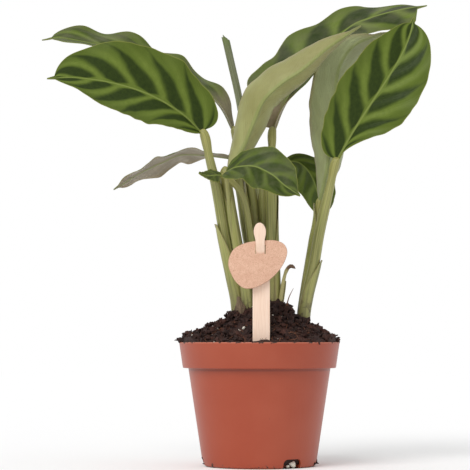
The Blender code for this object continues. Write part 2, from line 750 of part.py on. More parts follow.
def keep_largest_body(obj):
    """Drops the loose scraps that a cut leaves."""
    bm = bmesh.new()
    bm.from_mesh(obj.data)
    bodies = []
    left = set(bm.verts)
    while left:
        reached = [left.pop()]
        for vert in reached:
            for edge in vert.link_edges:
                other = edge.other_vert(vert)
                if other in left:
                    left.remove(other)
                    reached.append(other)
        bodies.append(reached)
    bodies.sort(key=len)
    for scrap in bodies[:-1]:
        bmesh.ops.delete(bm, geom=scrap, context="VERTS")
    bm.to_mesh(obj.data)
    bm.free()


def remove_objects(objects):
    for obj in list(objects):
        bpy.data.objects.remove(obj, do_unlink=True)


def fuse_crumbs(soil):
    """Joins the crumbs to the soil in one body."""
    rng = random.Random(SEED)
    finish = soil.data.materials[0]
    crumbs = bpy.data.collections.new("crumbs")
    bpy.context.scene.collection.children.link(crumbs)
    for index in range(CRUMBS):
        crumb = add_crumb(index, rng, finish)
        bpy.context.collection.objects.unlink(crumb)
        crumbs.objects.link(crumb)
    boolean = soil.modifiers.new("Crumbs", "BOOLEAN")
    boolean.operation = "UNION"
    boolean.operand_type = "COLLECTION"
    boolean.solver = "MANIFOLD"
    boolean.collection = crumbs
    apply_modifiers(soil)
    remove_objects(crumbs.objects)
    bpy.data.collections.remove(crumbs)


def mesh_copy(obj):
    """A cutter with the mesh that a curve or a thickened sheet makes."""
    graph = bpy.context.evaluated_depsgraph_get()
    mesh = bpy.data.meshes.new_from_object(obj.evaluated_get(graph))
    bm = bmesh.new()
    bm.from_mesh(mesh)
    bmesh.ops.remove_doubles(bm, verts=bm.verts, dist=1e-6)
    bmesh.ops.recalc_face_normals(bm, faces=bm.faces)
    bm.to_mesh(mesh)
    bm.free()
    copy = bpy.data.objects.new(obj.name + "_mesh", mesh)
    bpy.context.collection.objects.link(copy)
    bpy.data.objects.remove(obj, do_unlink=True)
    return as_cutter(copy)


def hole_for(name, route, radii, finish):
    """A cutter a little wider and deeper than the lower end of a stalk."""
    count = next(i for i, point in enumerate(route) if point.z > POT_HEIGHT + SOIL_HEAP + HOLE_MARGIN)
    down = (route[0] - route[1]).normalized()
    points = [route[0] + down * GAP, *route[1:count]]
    wider = [radius + GAP for radius in radii[:count]]
    return mesh_copy(round_bar("hole_" + name, points, wider, finish))


def soil_holes(finish):
    for leaf in LEAVES:
        yield hole_for(leaf.name, stalk_route(leaf), stalk_radii(leaf), finish)
    yield hole_for("spear", spear_route(), spear_radii(), finish)
    yield hole_for("shoot", shoot_route(), shoot_radii(), finish)
    yield sheath_hole(finish)
    yield stick_hole(finish)


def sheath_hole(finish):
    wider = replace(
        SHEATH,
        midrib=[Vector(SHEATH.midrib[0]) - Vector((0, 0, 5 * GAP)), *SHEATH.midrib[1:]],
        left=replace(SHEATH.left, width=SHEATH.left.width + 3 * GAP),
        right=replace(SHEATH.right, width=SHEATH.right.width + 3 * GAP),
    )
    hole = add_object("hole_sheath", triangle_sheet(blade_grid(wider, SHEATH_CELLS), "hole_sheath"), finish)
    return mesh_copy(thicken(hole, BLADE_THICKNESS + 4 * GAP))


def stick_hole(finish):
    bm = bmesh.new()
    bmesh.ops.create_cube(bm, size=1.0)
    low, high = STICK_FOOT - GAP, LEAN_START
    size = Matrix.Diagonal((STICK_WIDTH + 2 * GAP, STICK_THICKNESS + 2 * GAP, high - low, 1))
    place = Matrix.Translation((stick_x(POT_HEIGHT), STICK_Y, (low + high) / 2))
    bmesh.ops.transform(bm, matrix=place @ size, verts=bm.verts)
    return as_cutter(add_object("hole_stick", mesh_from(bm, "hole_stick", smooth=False), finish))


def add_soil():
    soil = soil_body()
    fuse_crumbs(soil)
    holes = list(soil_holes(soil.data.materials[0]))
    for hole in holes:
        cut(soil, hole)
    apply_modifiers(soil)
    keep_largest_body(soil)
    remove_objects(holes)
    return soil


def eased(t):
    """0 up to t = 0, 1 from t = 1, and smooth between."""
    t = min(max(t, 0.0), 1.0)
    return t * t * (3 - 2 * t)


def stick_x(z):
    """The stick leans a little to the left."""
    return STICK_X - STICK_LEAN * max(z - LEAN_START, 0) / (STICK_TOP - LEAN_START)


def stick_y(z):
    """The neck bends forward through the plate's slot."""
    return STICK_Y - BEND_STEP * eased((z - BEND_START) / (BEND_END - BEND_START))


def stick_half_width(z):
    """Full width up to the shoulders, then the neck, then the round head."""
    if z < STICK_FOOT + FOOT_TAPER:
        return STICK_WIDTH / 2 * (1 - FOOT_NARROWING * (STICK_FOOT + FOOT_TAPER - z) / FOOT_TAPER)
    if z < NECK_Z:
        narrowing = eased((z - SHOULDER_Z) / (NECK_Z - SHOULDER_Z))
        return (STICK_WIDTH + (NECK_WIDTH - STICK_WIDTH) * narrowing) / 2
    if z < HEAD_Z:
        widening = eased((z - BEND_END) / (HEAD_Z - BEND_END))
        return (NECK_WIDTH + (HEAD_WIDTH - NECK_WIDTH) * widening) / 2
    t = min((z - HEAD_Z) / (STICK_TOP - HEAD_Z), 1.0)
    return max(HEAD_WIDTH / 2 * (1 - t * t) ** 0.5, TIP_HALF_WIDTH)


def stick_stations():
    """Heights at which the stick's outline is drawn, closer together where it is shaped."""
    straight = [STICK_FOOT, STICK_FOOT + FOOT_TAPER, 70.0, 90.0, SHOULDER_Z]
    shaped = [109.3, 110.7, NECK_Z, BEND_START, 116.3, 118.0, 119.5, 121.0, 122.5, 124.0, 126.0, 128.0]
    head = [129.5, 131.0, 132.2, 133.2, STICK_TOP]
    return straight + shaped + head


def add_stick():
    rows = []
    for z in stick_stations():
        half = stick_half_width(z)
        rows.append([Vector((stick_x(z) + s * half, stick_y(z), z)) for s in (-1, 1)])
    finish = material("label_stick", (0.80, 0.58, 0.38), 0.65)
    stick = add_object("label_stick", triangle_sheet(rows, "label_stick"), finish)
    return thicken(stick, STICK_THICKNESS)


def closed_curve(points, steps):
    """Points of a smooth closed curve through the given ones, steps to each stretch."""
    count = len(points)
    wrapped = [Vector((x, 0, z)) for x, z in points]
    found = []
    for i in range(count):
        four = [wrapped[(i + k) % count] for k in (-1, 0, 1, 2)]
        for s in range(steps):
            found.append(curve_point(four, (1 + s / steps) / 3))
    return found


def add_plate():
    """The thin wooden plate, leaning back at its top, with the slot that the neck comes through."""
    middle = Vector(SLOT_CENTRE)
    bm = bmesh.new()
    loop = []
    for point in closed_curve(PLATE_OUTLINE, 3):
        loop.append(bm.verts.new((point.x, -PLATE_THICKNESS / 2, point.z - middle.z)))
    face = bm.faces.new(loop)
    grown = bmesh.ops.extrude_face_region(bm, geom=[face])
    moved = [v for v in grown["geom"] if isinstance(v, bmesh.types.BMVert)]
    bmesh.ops.translate(bm, vec=(0, PLATE_THICKNESS, 0), verts=moved)
    finish = material("label_plate", (0.72, 0.45, 0.30), 0.6)
    plate = add_object("label_plate", mesh_from(bm, "label_plate"), finish)
    bm = bmesh.new()
    bmesh.ops.create_cube(bm, size=1.0)
    size = Matrix.Diagonal((NECK_WIDTH + 2 * GAP, 4 * PLATE_THICKNESS, SLOT_HEIGHT, 1))
    bmesh.ops.transform(bm, matrix=Matrix.Translation((middle.x, 0, 0)) @ size, verts=bm.verts)
    slot = as_cutter(add_object("slot_cutter", mesh_from(bm, "slot_cutter", smooth=False), finish))
    slot.parent = plate
    cut(plate, slot)
    plate.location = (0, middle.y * MM, middle.z * MM)
    plate.rotation_euler = (-radians(PLATE_LEAN), 0, 0)
    return plate


def add_sheath():
    mesh = triangle_sheet(blade_grid(SHEATH, SHEATH_CELLS), SHEATH.name)
    finish = material(SHEATH.name, SHEATH.colour, 0.8)
    return thicken(add_object(SHEATH.name, mesh, finish), BLADE_THICKNESS)


def main():
    clear_scene()
    add_pot()
    add_soil()
    add_stick()
    add_plate()
    for leaf in LEAVES:
        add_blade(leaf)
        add_stalk(leaf)
    add_spear()
    add_shoot()
    add_sheath()


main()
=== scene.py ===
"""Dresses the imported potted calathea: striped leaves, stalks, soil, nursery pot and wooden label.

Lists of places are in millimetres in the part's own frame, and become metres where a mesh is made.
"""

import random
from dataclasses import dataclass
from functools import partial, partialmethod
from math import atan2, cos, exp, pi, radians, sin, sqrt

import bmesh
import bpy
from bpy.props import FloatProperty, FloatVectorProperty, IntProperty, PointerProperty
from mathutils import Matrix, Vector, noise


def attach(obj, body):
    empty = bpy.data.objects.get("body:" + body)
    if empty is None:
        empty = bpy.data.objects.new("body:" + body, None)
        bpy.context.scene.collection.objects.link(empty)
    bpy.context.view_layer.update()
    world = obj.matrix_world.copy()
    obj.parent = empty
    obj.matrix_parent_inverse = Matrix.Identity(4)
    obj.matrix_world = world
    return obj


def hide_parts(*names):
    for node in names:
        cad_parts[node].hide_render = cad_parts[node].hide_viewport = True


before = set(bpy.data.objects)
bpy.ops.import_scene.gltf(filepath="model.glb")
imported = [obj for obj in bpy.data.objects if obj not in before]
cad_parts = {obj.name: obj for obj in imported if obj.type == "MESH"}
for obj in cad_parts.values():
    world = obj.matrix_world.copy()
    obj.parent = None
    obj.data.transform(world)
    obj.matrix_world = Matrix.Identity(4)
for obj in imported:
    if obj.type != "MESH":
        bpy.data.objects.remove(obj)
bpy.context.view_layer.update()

bl_info = {
    "name": "Potted Calathea Dresser",
    "version": (1, 0, 0),
    "blender": (4, 5, 0),
    "location": "View3D > Sidebar > Calathea",
    "description": "Builds the leaves, stalks, soil, pot and label of a potted calathea round its solids",
    "category": "Object",
}

MM = 0.001
FRONT = (0, -1, 0)  # the side with the label
FULL_TURN = 2 * pi


def srgb(red, green, blue):
    """A colour given as it looks on a screen, from 0 to 255, in Blender's linear values."""
    shares = (red / 255, green / 255, blue / 255)
    return tuple(s / 12.92 if s <= 0.04045 else ((s + 0.055) / 1.055) ** 2.4 for s in shares)


# The plant's own shape, as the part's source gives it

TAIL = 0.045  # share of the midrib that is the narrow tip
BASE_HALF_WIDTH = 0.9
TAIL_HALF_WIDTH = 0.4
TAIL_FLARE = 1.2  # how much wider the tail is where it leaves the blade
STALK_FOOT_Z = 60.0
KNEE = 0.9  # the swollen joint under a blade starts at this share of the stalk
KNEE_SWELL = 0.28
KNEE_RUN = 4.0


@dataclass
class Half:
    """One half of a blade. Angles are at the base, the middle and the tip."""

    width: float
    rise: tuple = (20.0, 15.0, 10.0)  # degrees that it stands up from the midrib
    curl: tuple = (0.0, 0.0, 0.0)  # more degrees that it gains on its way to the margin
    wave: float = 1.2  # height of the margin's waves
    waves: float = 3.0
    phase: float = 0.0
    fullness: float = 0.6  # less keeps it wide towards the base
    bluntness: float = 0.0  # taken in place of the leaf's own, unless it is 0


@dataclass
class Leaf:
    name: str
    midrib: list  # from the base to the tip
    face: tuple  # where the upper side looks at the base, the middle and the tip
    left: Half
    right: Half
    stalk: list  # from the soil up, without its ends
    foot: tuple  # where it enters the soil's depth, x and y
    radii: tuple = (2.6, 1.8)  # stalk at its foot and under the knee
    widest: float = 0.42  # where along it the blade is widest
    bluntness: float = 0.85  # less than 1 keeps it wide towards the tip
    knee: tuple = ()  # where the stalk heads as it reaches a blade that turns sharply from it


LEAVES = [
    Leaf(
        name="front_left",
        midrib=[(-32.7, -14, 186.2), (-43.8, -18, 196.4), (-60.8, -23, 205.9), (-80, -28, 211.6),
                (-100, -33, 214), (-116.6, -37, 213.1)],
        face=((0.2, -0.85, 0.45), (0.1, -0.85, 0.5), (0, -0.75, 0.65)),
        left=Half(24.5, rise=(35, 8, 15), curl=(0, 10, 20), wave=1.0, waves=3.2, phase=0.5),
        right=Half(26.5, rise=(20, 18, 15), wave=1.0, waves=3.4, phase=0.2, fullness=0.32),
        stalk=[(-12.0, -3, 88), (-15.3, -4, 106.7), (-19.2, -6, 126.3), (-23.9, -9, 154.2),
               (-28.0, -12, 171.9)],
        foot=(-11.6, -3),
        radii=(2.8, 2.5),
        widest=0.5,
        bluntness=0.55,
    ),
    Leaf(
        name="back_left",
        midrib=[(-14.8, 14, 191.6), (-20, 15, 202.1), (-26.4, 17, 209.9), (-35.6, 19, 216),
                (-57.1, 23, 227), (-83.5, 27, 238.7), (-112.3, 30, 245.8), (-126.3, 30, 245)],
        face=((0.8, -0.3, 0.5), (0.1, -0.35, 0.9), (0, -0.35, 0.9)),
        left=Half(20, rise=(15, 8, 8), wave=1.6),
        right=Half(20, rise=(12, 16, 20), wave=2.6, waves=4.3, phase=0.52),
        stalk=[(-4.6, 8.5, 95), (-2.2, 10, 127.1), (-4.4, 9.3, 155.5), (-10.8, 11, 175.8)],
        foot=(-5.2, 7.7),
        radii=(2.6, 2.0),
        widest=0.6,
        bluntness=0.42,
    ),
    Leaf(
        name="low_left",
        midrib=[(-16.5, 6, 174.2), (-29.7, 10, 176), (-44.6, 12, 176.4), (-54.4, 14, 172.6),
                (-63.5, 14.5, 168.4), (-70.4, 14, 164.6), (-83.1, 12, 156.1)],
        face=((-0.1, 0.15, 1), (-0.3, 0.2, 0.9), (-0.5, 0.25, 0.8)),
        left=Half(11.5, rise=(10, 5, 5), curl=(0, -20, 0), wave=1.4, waves=3.3, phase=0.3),
        right=Half(11.5, rise=(10, -5, -5), curl=(0, -20, 0), wave=1.4, waves=3.4, phase=0.6),
        stalk=[(0.4, 4.8, 95), (-6.6, 4, 126.8), (-10.4, 4, 152.2), (-13.1, 5, 166.7)],
        foot=(1.5, 5.3),
        radii=(2.5, 2.1),
        widest=0.5,
        bluntness=0.5,
    ),
    Leaf(
        name="pale_centre",
        midrib=[(-17.1, -6, 165.4), (-9.2, -8, 177.9), (-3.1, -11, 192.2), (2.5, -15, 204.1),
                (12.5, -17, 213.4), (24.3, -17, 221.2), (38.4, -14, 233.5), (57.2, -9, 246.8)],
        face=((-0.2, 1, 0.1), (-0.3, 0.9, 0.3), (-0.3, 0.9, 0.3)),
        left=Half(21, rise=(25, 18, 25), curl=(60, 60, 60), wave=0.5, waves=2.0, phase=0.3),
        right=Half(19, rise=(35, 40, 35), curl=(60, 60, 60), wave=0.5, waves=2.0, phase=0.6),
        stalk=[(-6.5, -0.3, 89.9), (-9.4, -1.6, 106.7), (-13.0, -3, 126.4), (-17.3, -5, 150)],
        foot=(-5.8, -0.2),
        radii=(2.8, 3.0),
        bluntness=0.8,
    ),
    Leaf(
        name="upper_right",
        midrib=[(8.5, 10, 191), (14.4, 16, 205.3), (28.5, 23, 228.3), (51.9, 27, 251.3), (65.1, 27, 257.4),
                (81.6, 25, 261.9), (97.6, 22, 264.0)],
        face=((-0.75, -0.6, 0.3), (-0.35, -0.45, 0.8), (0, -0.3, 0.95)),
        left=Half(25.5, rise=(38, 22, 0), wave=1.4, waves=4.4, phase=0.3, fullness=0.28, bluntness=0.6),
        right=Half(17, rise=(35, 0, -45), wave=1.0, phase=0.1),
        stalk=[(8.4, -2, 92.7), (7.1, -1, 126.5), (6.6, 0, 154.9), (7.3, 6, 178.1)],
        foot=(8.6, -2.3),
        radii=(3.2, 2.9),
        widest=0.22,
        bluntness=0.15,
    ),
    Leaf(
        name="pale_right",
        midrib=[(34.6, 6, 149.6), (39, 3, 169.3), (41.3, 2, 192), (43, 1, 209), (45.9, 1, 225.5),
                (55.2, 0, 237.9), (74, 2, 245.0)],
        face=((0, 1, 0), (-0.1, 1, 0.1), (-0.4, 0.6, 0.6)),
        left=Half(21, rise=(30, 25, 10), curl=(60, 50, 10), wave=0.5, waves=2.0, bluntness=0.35),
        right=Half(16, rise=(30, 14, 5), curl=(60, 40, 10), wave=0.5, waves=2.0, phase=0.4),
        stalk=[(24.8, 6.2, 82), (26.5, 6, 95.7), (29.4, 6, 112.7), (32.3, 6, 129.7)],
        foot=(24.5, 6.3),
        radii=(2.6, 2.6),
        widest=0.5,
        bluntness=1.1,
    ),
    Leaf(
        name="front_right",
        midrib=[(44, -4, 171.8), (53.5, -8, 188.5), (60.9, -11, 200.1), (74.2, -14, 220.5),
                (82.8, -12, 236.6), (87.2, -8, 252)],
        face=((-0.3, -0.95, 0.15), (-0.1, -1, 0.1), (0.1, -1, 0.1)),
        left=Half(21.5, rise=(15, 14, 15), wave=0.9, phase=0.2, fullness=0.33),
        right=Half(22.5, rise=(12, 8, 15), waves=3.6, phase=0.5, fullness=1.9),
        stalk=[(24.8, -0.5, 81.5), (26.8, -1, 95.5), (30.8, -1, 112.4), (33.7, -1, 129.3),
               (37.2, -1, 145.2), (40.2, -2, 158)],
        foot=(24.4, -0.5),
        radii=(2.8, 2.5),
        widest=0.48,
        bluntness=0.5,
    ),
    Leaf(
        name="back_right",
        midrib=[(10.5, 23, 171), (17, 26, 173.5), (24, 27, 172.5), (30, 26.5, 166), (34, 25, 155),
                (35.5, 22, 140)],
        face=((0.3, -0.6, 0.7), (0.5, -0.8, 0.3), (0.5, -0.8, 0.1)),
        left=Half(14, rise=(10, 5, 5), wave=0.6, waves=2.2, phase=0.2, fullness=2.0),
        right=Half(9.5, rise=(10, 10, 10), wave=0.4, waves=2.2, phase=0.5, fullness=1.0),
        stalk=[(6.2, 5, 95), (3.9, 7, 126.9), (2.2, 8, 155.5), (6.4, 16, 170.5)],
        foot=(7.9, 4.6),
        radii=(2.5, 1.7),
        widest=0.55,
        bluntness=0.55,
    ),
    Leaf(
        name="front_middle",
        midrib=[(-18.7, -23, 163.2), (-13.1, -27, 165.3), (-3.3, -31, 165.4), (6.6, -35, 160.4),
                (13.6, -38, 154.1), (21.7, -40, 148.5)],
        face=((0, -0.6, 0.8), (0, -0.75, 0.65), (0.2, -0.8, 0.5)),
        left=Half(14.5, rise=(15, 15, 10), wave=0.8, waves=2.6, phase=0.1),
        right=Half(16.5, rise=(5, 10, 10), wave=1.4, waves=2.4, phase=0.4, fullness=0.4),
        stalk=[(-7.0, -7.4, 93), (-10.2, -9.2, 110), (-13.8, -12, 128), (-17.3, -17, 150)],
        foot=(-5.4, -6.9),
        radii=(2.4, 1.6),
        widest=0.5,
        bluntness=0.6,
        knee=(-0.5, -0.1, 0.8),
    ),
    Leaf(
        name="small_left",
        midrib=[(-21, -15, 162.0), (-24.6, -17.6, 161.8), (-28.2, -20.6, 161.2), (-31.4, -23.3, 161.6),
                (-33.6, -25, 162.2)],
        face=((0.3, -0.75, 0.6), (0.3, -0.75, 0.6), (0.2, -0.75, 0.6)),
        left=Half(6, rise=(10, 10, 10), wave=0.5, waves=2.0, fullness=2.0),
        right=Half(5, rise=(10, -15, 0), wave=0.4, waves=2.0, phase=0.5),
        stalk=[(0.5, -1.8, 95), (-4.7, -5, 126.3), (-9.2, -9, 150)],
        foot=(1.8, -1.0),
        radii=(2.2, 1.4),
        knee=(-0.7, -0.5, 0.4),
    ),
]


# Curves

def through_three(values, t):
    """A value at t on the smooth curve through the values at 0, a half and 1."""
    start, middle, end = values
    return start * (2 * t - 1) * (t - 1) + middle * 4 * t * (1 - t) + end * t * (2 * t - 1)


def curve_point(points, u):
    """A point at u, from 0 to 1, of the smooth curve that passes through all the points."""
    last = len(points) - 1
    index = min(int(u * last), last - 1)
    t = u * last - index
    before = points[index - 1] if index else points[0] * 2 - points[1]
    after = points[index + 2] if index + 2 <= last else points[last] * 2 - points[last - 1]
    here, there = points[index], points[index + 1]
    t2, t3 = t * t, t * t * t
    slopes = (there - before) / 2 * (t3 - 2 * t2 + t) + (after - here) / 2 * (t3 - t2)
    return here * (2 * t3 - 3 * t2 + 1) + there * (3 * t2 - 2 * t3) + slopes


def points_at(points, shares):
    """Points of the smooth curve through the given ones, at rising shares of its length."""
    fine = 600
    samples = [curve_point(points, share) for share in even(fine)]
    lengths = [0.0]
    for a, b in zip(samples, samples[1:]):
        lengths.append(lengths[-1] + (b - a).length)
    found = []
    k = 0
    for wanted in (share * lengths[-1] for share in shares):
        while k < fine - 1 and lengths[k + 1] < wanted:
            k += 1
        part = (wanted - lengths[k]) / (lengths[k + 1] - lengths[k])
        found.append(samples[k].lerp(samples[k + 1], min(part, 1.0)))
    return found


def even(count):
    return [i / count for i in range(count + 1)]


def eased(t):
    """0 up to t = 0, 1 from t = 1, and smooth between."""
    t = min(max(t, 0.0), 1.0)
    return t * t * (3 - 2 * t)


def tangents(points):
    """The unit direction of the line at each of its points."""
    found = []
    for i in range(len(points)):
        ahead = points[min(i + 1, len(points) - 1)]
        behind = points[max(i - 1, 0)]
        found.append((ahead - behind).normalized())
    return found


def frames(points, towards=FRONT):
    """At each point of a line, its direction and two across it, the first one begun towards the given one."""
    across = Vector(towards)
    found = []
    for line in tangents(points):
        across = (across - line * across.dot(line)).normalized()
        found.append((line, across, line.cross(across)))
    return found


# Meshes

def circle(radius, z, sides):
    """A level ring of places about the pot's axis."""
    turns = (FULL_TURN * i / sides for i in range(sides))
    return [Vector((radius * cos(a), radius * sin(a), z)) for a in turns]


def cell_round(place, axes, angle, reach, share=0.0, edge=0.0):
    """A place round a line, at an angle and a reach from it, with the marks of a stalk."""
    x, y = cos(angle), sin(angle)
    return place + (axes[1] * x + axes[2] * y) * reach, (share, x, y, edge)


def unzipped(rows):
    """A grid of the first values of a grid's cells, another of the second ones, and so on."""
    return [[[cell[i] for cell in row] for row in rows] for i in range(len(rows[0][0]))]


def put(name, data):
    """A new object in the scene for a mesh, a light or a camera."""
    obj = bpy.data.objects.new(name, data)
    bpy.context.scene.collection.objects.link(obj)
    return obj


def mesh_of(bm, name):
    mesh = bpy.data.meshes.new(name)
    bm.to_mesh(mesh)
    bm.free()
    return mesh


class Body:
    """The points and faces of one piece, in millimetres. Marks are numbers that go with each point."""

    def __init__(self):
        self.places = []
        self.marks = []
        self.faces = []
        self.finishes = []

    def point(self, place, *marks):
        self.places.append(place)
        self.marks.append(marks)
        return len(self.places) - 1

    def face(self, corners, finish=0):
        self.faces.append(tuple(corners))
        self.finishes.append(finish)

    def grid(self, places, marks):
        return [[self.point(p, *m) for p, m in zip(*pair)] for pair in zip(places, marks)]

    def shell(self, upper, lower, marks, finishes=(0, 1, 0)):
        """A thin closed sheet between two grids of places, with finishes for its top, underside and rim."""
        top, under = self.grid(upper, marks), self.grid(lower, marks)
        last_row, last = len(top) - 1, len(top[0]) - 1
        for i in range(last_row):
            for k in range(last):
                for grid, finish in ((top, finishes[0]), (under, finishes[1])):
                    self.face((grid[i][k], grid[i][k + 1], grid[i + 1][k + 1], grid[i + 1][k]), finish)
            for k in (0, last):
                self.face((top[i][k], top[i + 1][k], under[i + 1][k], under[i][k]), finishes[2])
        for i in (0, last_row):
            for k in range(last):
                self.face((top[i][k], top[i][k + 1], under[i][k + 1], under[i][k]), finishes[2])

    def sheet(self, rows, thickness, finish):
        """A thin closed sheet about a grid of cells, each a place with its marks."""
        places, marks = unzipped(rows)
        self.shell(*offset_grids(places, thickness), marks, (finish,) * 3)

    def rings(self, rings, marks=None):
        """A solid through closed rings of places, capped at both ends."""
        corners = self.grid(rings, marks or [[()] * len(ring) for ring in rings])
        for a, b in zip(corners, corners[1:]):
            for k in range(len(a)):
                j = (k + 1) % len(a)
                self.face((a[k], a[j], b[j], b[k]))
        self.face(reversed(corners[0]))
        self.face(corners[-1])

    def lump(self, template, place, turn, size, mark):
        """A copy of a small template, turned and sized."""
        points, faces = template
        first = len(self.places)
        for corner in points:
            self.point(place + turn @ Vector(c * s for c, s in zip(corner, size)), mark)
        for face in faces:
            self.face(first + corner for corner in face)

    def build(self, name, finishes, marks=(), sharp=40.0):
        """Makes the piece's object, in metres, with its faces pointing out."""
        mesh = bpy.data.meshes.new(name)
        mesh.from_pydata([place * MM for place in self.places], [], self.faces)
        for finish in finishes:
            mesh.materials.append(finish)
        mesh.polygons.foreach_set("material_index", self.finishes)
        for index, mark in enumerate(marks):
            layer = mesh.attributes.new(mark, "FLOAT", "POINT")
            layer.data.foreach_set("value", [values[index] for values in self.marks])
        bm = bmesh.new()
        bm.from_mesh(mesh)
        bmesh.ops.recalc_face_normals(bm, faces=bm.faces)
        bm.to_mesh(mesh)
        bm.free()
        mesh.shade_smooth()
        mesh.set_sharp_from_angle(angle=radians(sharp))
        return put(name, mesh)


def offset_grids(rows, thickness):
    """The grids half a thickness above and below a grid of places."""
    last_row, last = len(rows) - 1, len(rows[0]) - 1
    grid = []
    for i, row in enumerate(rows):
        cells = []
        for k, place in enumerate(row):
            along = rows[min(i + 1, last_row)][k] - rows[max(i - 1, 0)][k]
            across = row[min(k + 1, last)] - row[max(k - 1, 0)]
            lift = along.cross(across).normalized() * (thickness / 2)
            cells.append((place + lift, place - lift))
        grid.append(cells)
    return unzipped(grid)


def rounded_template(roughness, seed):
    """The corners and faces of a small uneven lump of radius 1."""
    bm = bmesh.new()
    bmesh.ops.create_icosphere(bm, subdivisions=2, radius=1.0)
    points = []
    for vert in bm.verts:
        swing = noise.noise(vert.co * 1.7 + Vector((seed, 0, 0)))
        points.append(vert.co * (1 + roughness * swing))
    faces = [[vert.index for vert in face.verts] for face in bm.faces]
    bm.free()
    return points, faces


def block_cutter(name, size, place, rounding=0.0):
    """A block for cutting, in metres where it is placed. Its edges along x may be rounded."""
    bm = bmesh.new()
    bmesh.ops.create_cube(bm, size=1.0)
    bmesh.ops.transform(bm, matrix=Matrix.Diagonal((*size, 1)), verts=bm.verts)
    if rounding:
        lengthwise = [e for e in bm.edges if abs((e.verts[0].co - e.verts[1].co).x) > size[0] / 2]
        bmesh.ops.bevel(bm, geom=lengthwise, offset=rounding, segments=5, profile=0.5, affect="EDGES")
    bmesh.ops.transform(bm, matrix=Matrix.Scale(MM, 4) @ place, verts=bm.verts)
    return put(name, mesh_of(bm, name))




def dress(obj, slot, *nodes):
    """Lets the piece move with the part and stand for its nodes, which are hidden. The slot is not used."""
    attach(obj, "root")
    if nodes:
        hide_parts(*nodes)


def make(name, slot, nodes, add, finishes, marks=(), sharp=40.0):
    """Builds a piece from a function that adds its points and faces, and dresses it."""
    body = Body()
    add(body)
    dress(body.build(name, finishes, marks, sharp), slot, *nodes)


# Finishes

class Grade:
    """A number that changes over a surface. Grades add, subtract and multiply like numbers."""

    def __init__(self, finish, socket):
        self.finish = finish
        self.socket = socket

    def math(self, operation, *others):
        values = dict(enumerate((self, *others)))
        return self.finish.grade("ShaderNodeMath", 0, values, operation=operation)

    __add__ = partialmethod(math, "ADD")
    __sub__ = partialmethod(math, "SUBTRACT")
    __mul__ = partialmethod(math, "MULTIPLY")
    __pow__ = partialmethod(math, "POWER")
    __abs__ = partialmethod(math, "ABSOLUTE")

    def over(self, low, high):
        """0 at low, 1 at high and smooth between. High may be the lower of the two."""
        values = {"Value": self, "From Min": low, "From Max": high}
        return self.finish.grade("ShaderNodeMapRange", "Result", values, interpolation_type="SMOOTHSTEP")


class Finish:
    """A material that is drawn up from nodes. Its colour is built up in coats over a first one."""

    def __init__(self, name, colour, **sockets):
        self.material = bpy.data.materials.new(name)
        self.material.use_nodes = True
        self.tree = self.material.node_tree
        self.shader = self.tree.nodes["Principled BSDF"]
        self.colour = colour
        for socket, value in sockets.items():
            self.set(socket.replace("_", " "), value)

    def join(self, value, place):
        if isinstance(value, Grade):
            value = value.socket
        if isinstance(value, bpy.types.NodeSocket):
            self.tree.links.new(value, place)
        else:
            place.default_value = (*value, 1.0) if place.type == "RGBA" else value

    def set(self, name, value):
        self.join(value, self.shader.inputs[name])

    def out(self, kind, output, values, **settings):
        """The output of a new node that is set up and given values for its sockets."""
        node = self.tree.nodes.new(kind)
        for name, value in settings.items():
            setattr(node, name, value)
        for name, value in values.items():
            self.join(value, node.inputs[name])
        return node.outputs[output]

    def grade(self, *node, **settings):
        return Grade(self, self.out(*node, **settings))

    def mark(self, name):
        """A number that the piece's points carry."""
        return self.grade("ShaderNodeAttribute", "Fac", {}, attribute_name=name)

    def place(self):
        """Where a point lies on the object, in metres."""
        return self.out("ShaderNodeTexCoord", "Object", {})

    def height(self):
        return self.grade("ShaderNodeSeparateXYZ", "Z", {0: self.place()})

    def trio(self, x, y, z):
        """A place made of three numbers."""
        return self.out("ShaderNodeCombineXYZ", 0, {0: x, 1: y, 2: z})

    def stretched(self, place, scale):
        return self.out("ShaderNodeMapping", 0, {"Vector": place, "Scale": scale})

    def cloud(self, place, scale, detail=2.0, roughness=0.5, distortion=0.0):
        """Noise from 0 to 1, about a half on the whole."""
        values = {"Vector": place, "Scale": scale, "Detail": detail, "Roughness": roughness}
        return self.grade("ShaderNodeTexNoise", "Fac", {**values, "Distortion": distortion})

    def streaks(self, stretch, scale, detail=3.0, roughness=0.5):
        """Noise drawn out along a stalk."""
        place = self.trio(self.mark("side_x"), self.mark("side_y"), self.mark("along") * stretch)
        return self.cloud(place, scale, detail, roughness)

    def blend(self, share, low, high):
        """A colour between two, low at 0 and high at 1. The numbers are the colour sockets of a mix node."""
        return self.out("ShaderNodeMix", 2, {0: share, 6: low, 7: high}, data_type="RGBA")

    def coat(self, share, colour):
        """Lays a colour over what is there, none of it at a share of 0 and all of it at 1."""
        self.colour = self.blend(share, self.colour, colour)

    def done(self, roughness, height=None, depth=0.0):
        """The material with its colour, its roughness and bumps of that depth, in metres."""
        self.set("Base Color", self.colour)
        self.set("Roughness", roughness)
        if height:
            self.set("Normal", self.out("ShaderNodeBump", "Normal", {"Height": height, "Distance": depth}))
        return self.material


# Sizes and colours that a user would change

def length(name, description, default):
    return FloatProperty(name=name, description=description, default=default, min=0.0, unit="LENGTH")


def number(name, description, default, low=0.0, high=100.0):
    return FloatProperty(name=name, description=description, default=default, min=low, max=high)


def count(name, description, default):
    return IntProperty(name=name, description=description, default=default, min=1)


def colour(name, description, default):
    return FloatVectorProperty(
        name=name, description=description, default=default, subtype="COLOR", size=3, min=0.0, max=1.0
    )


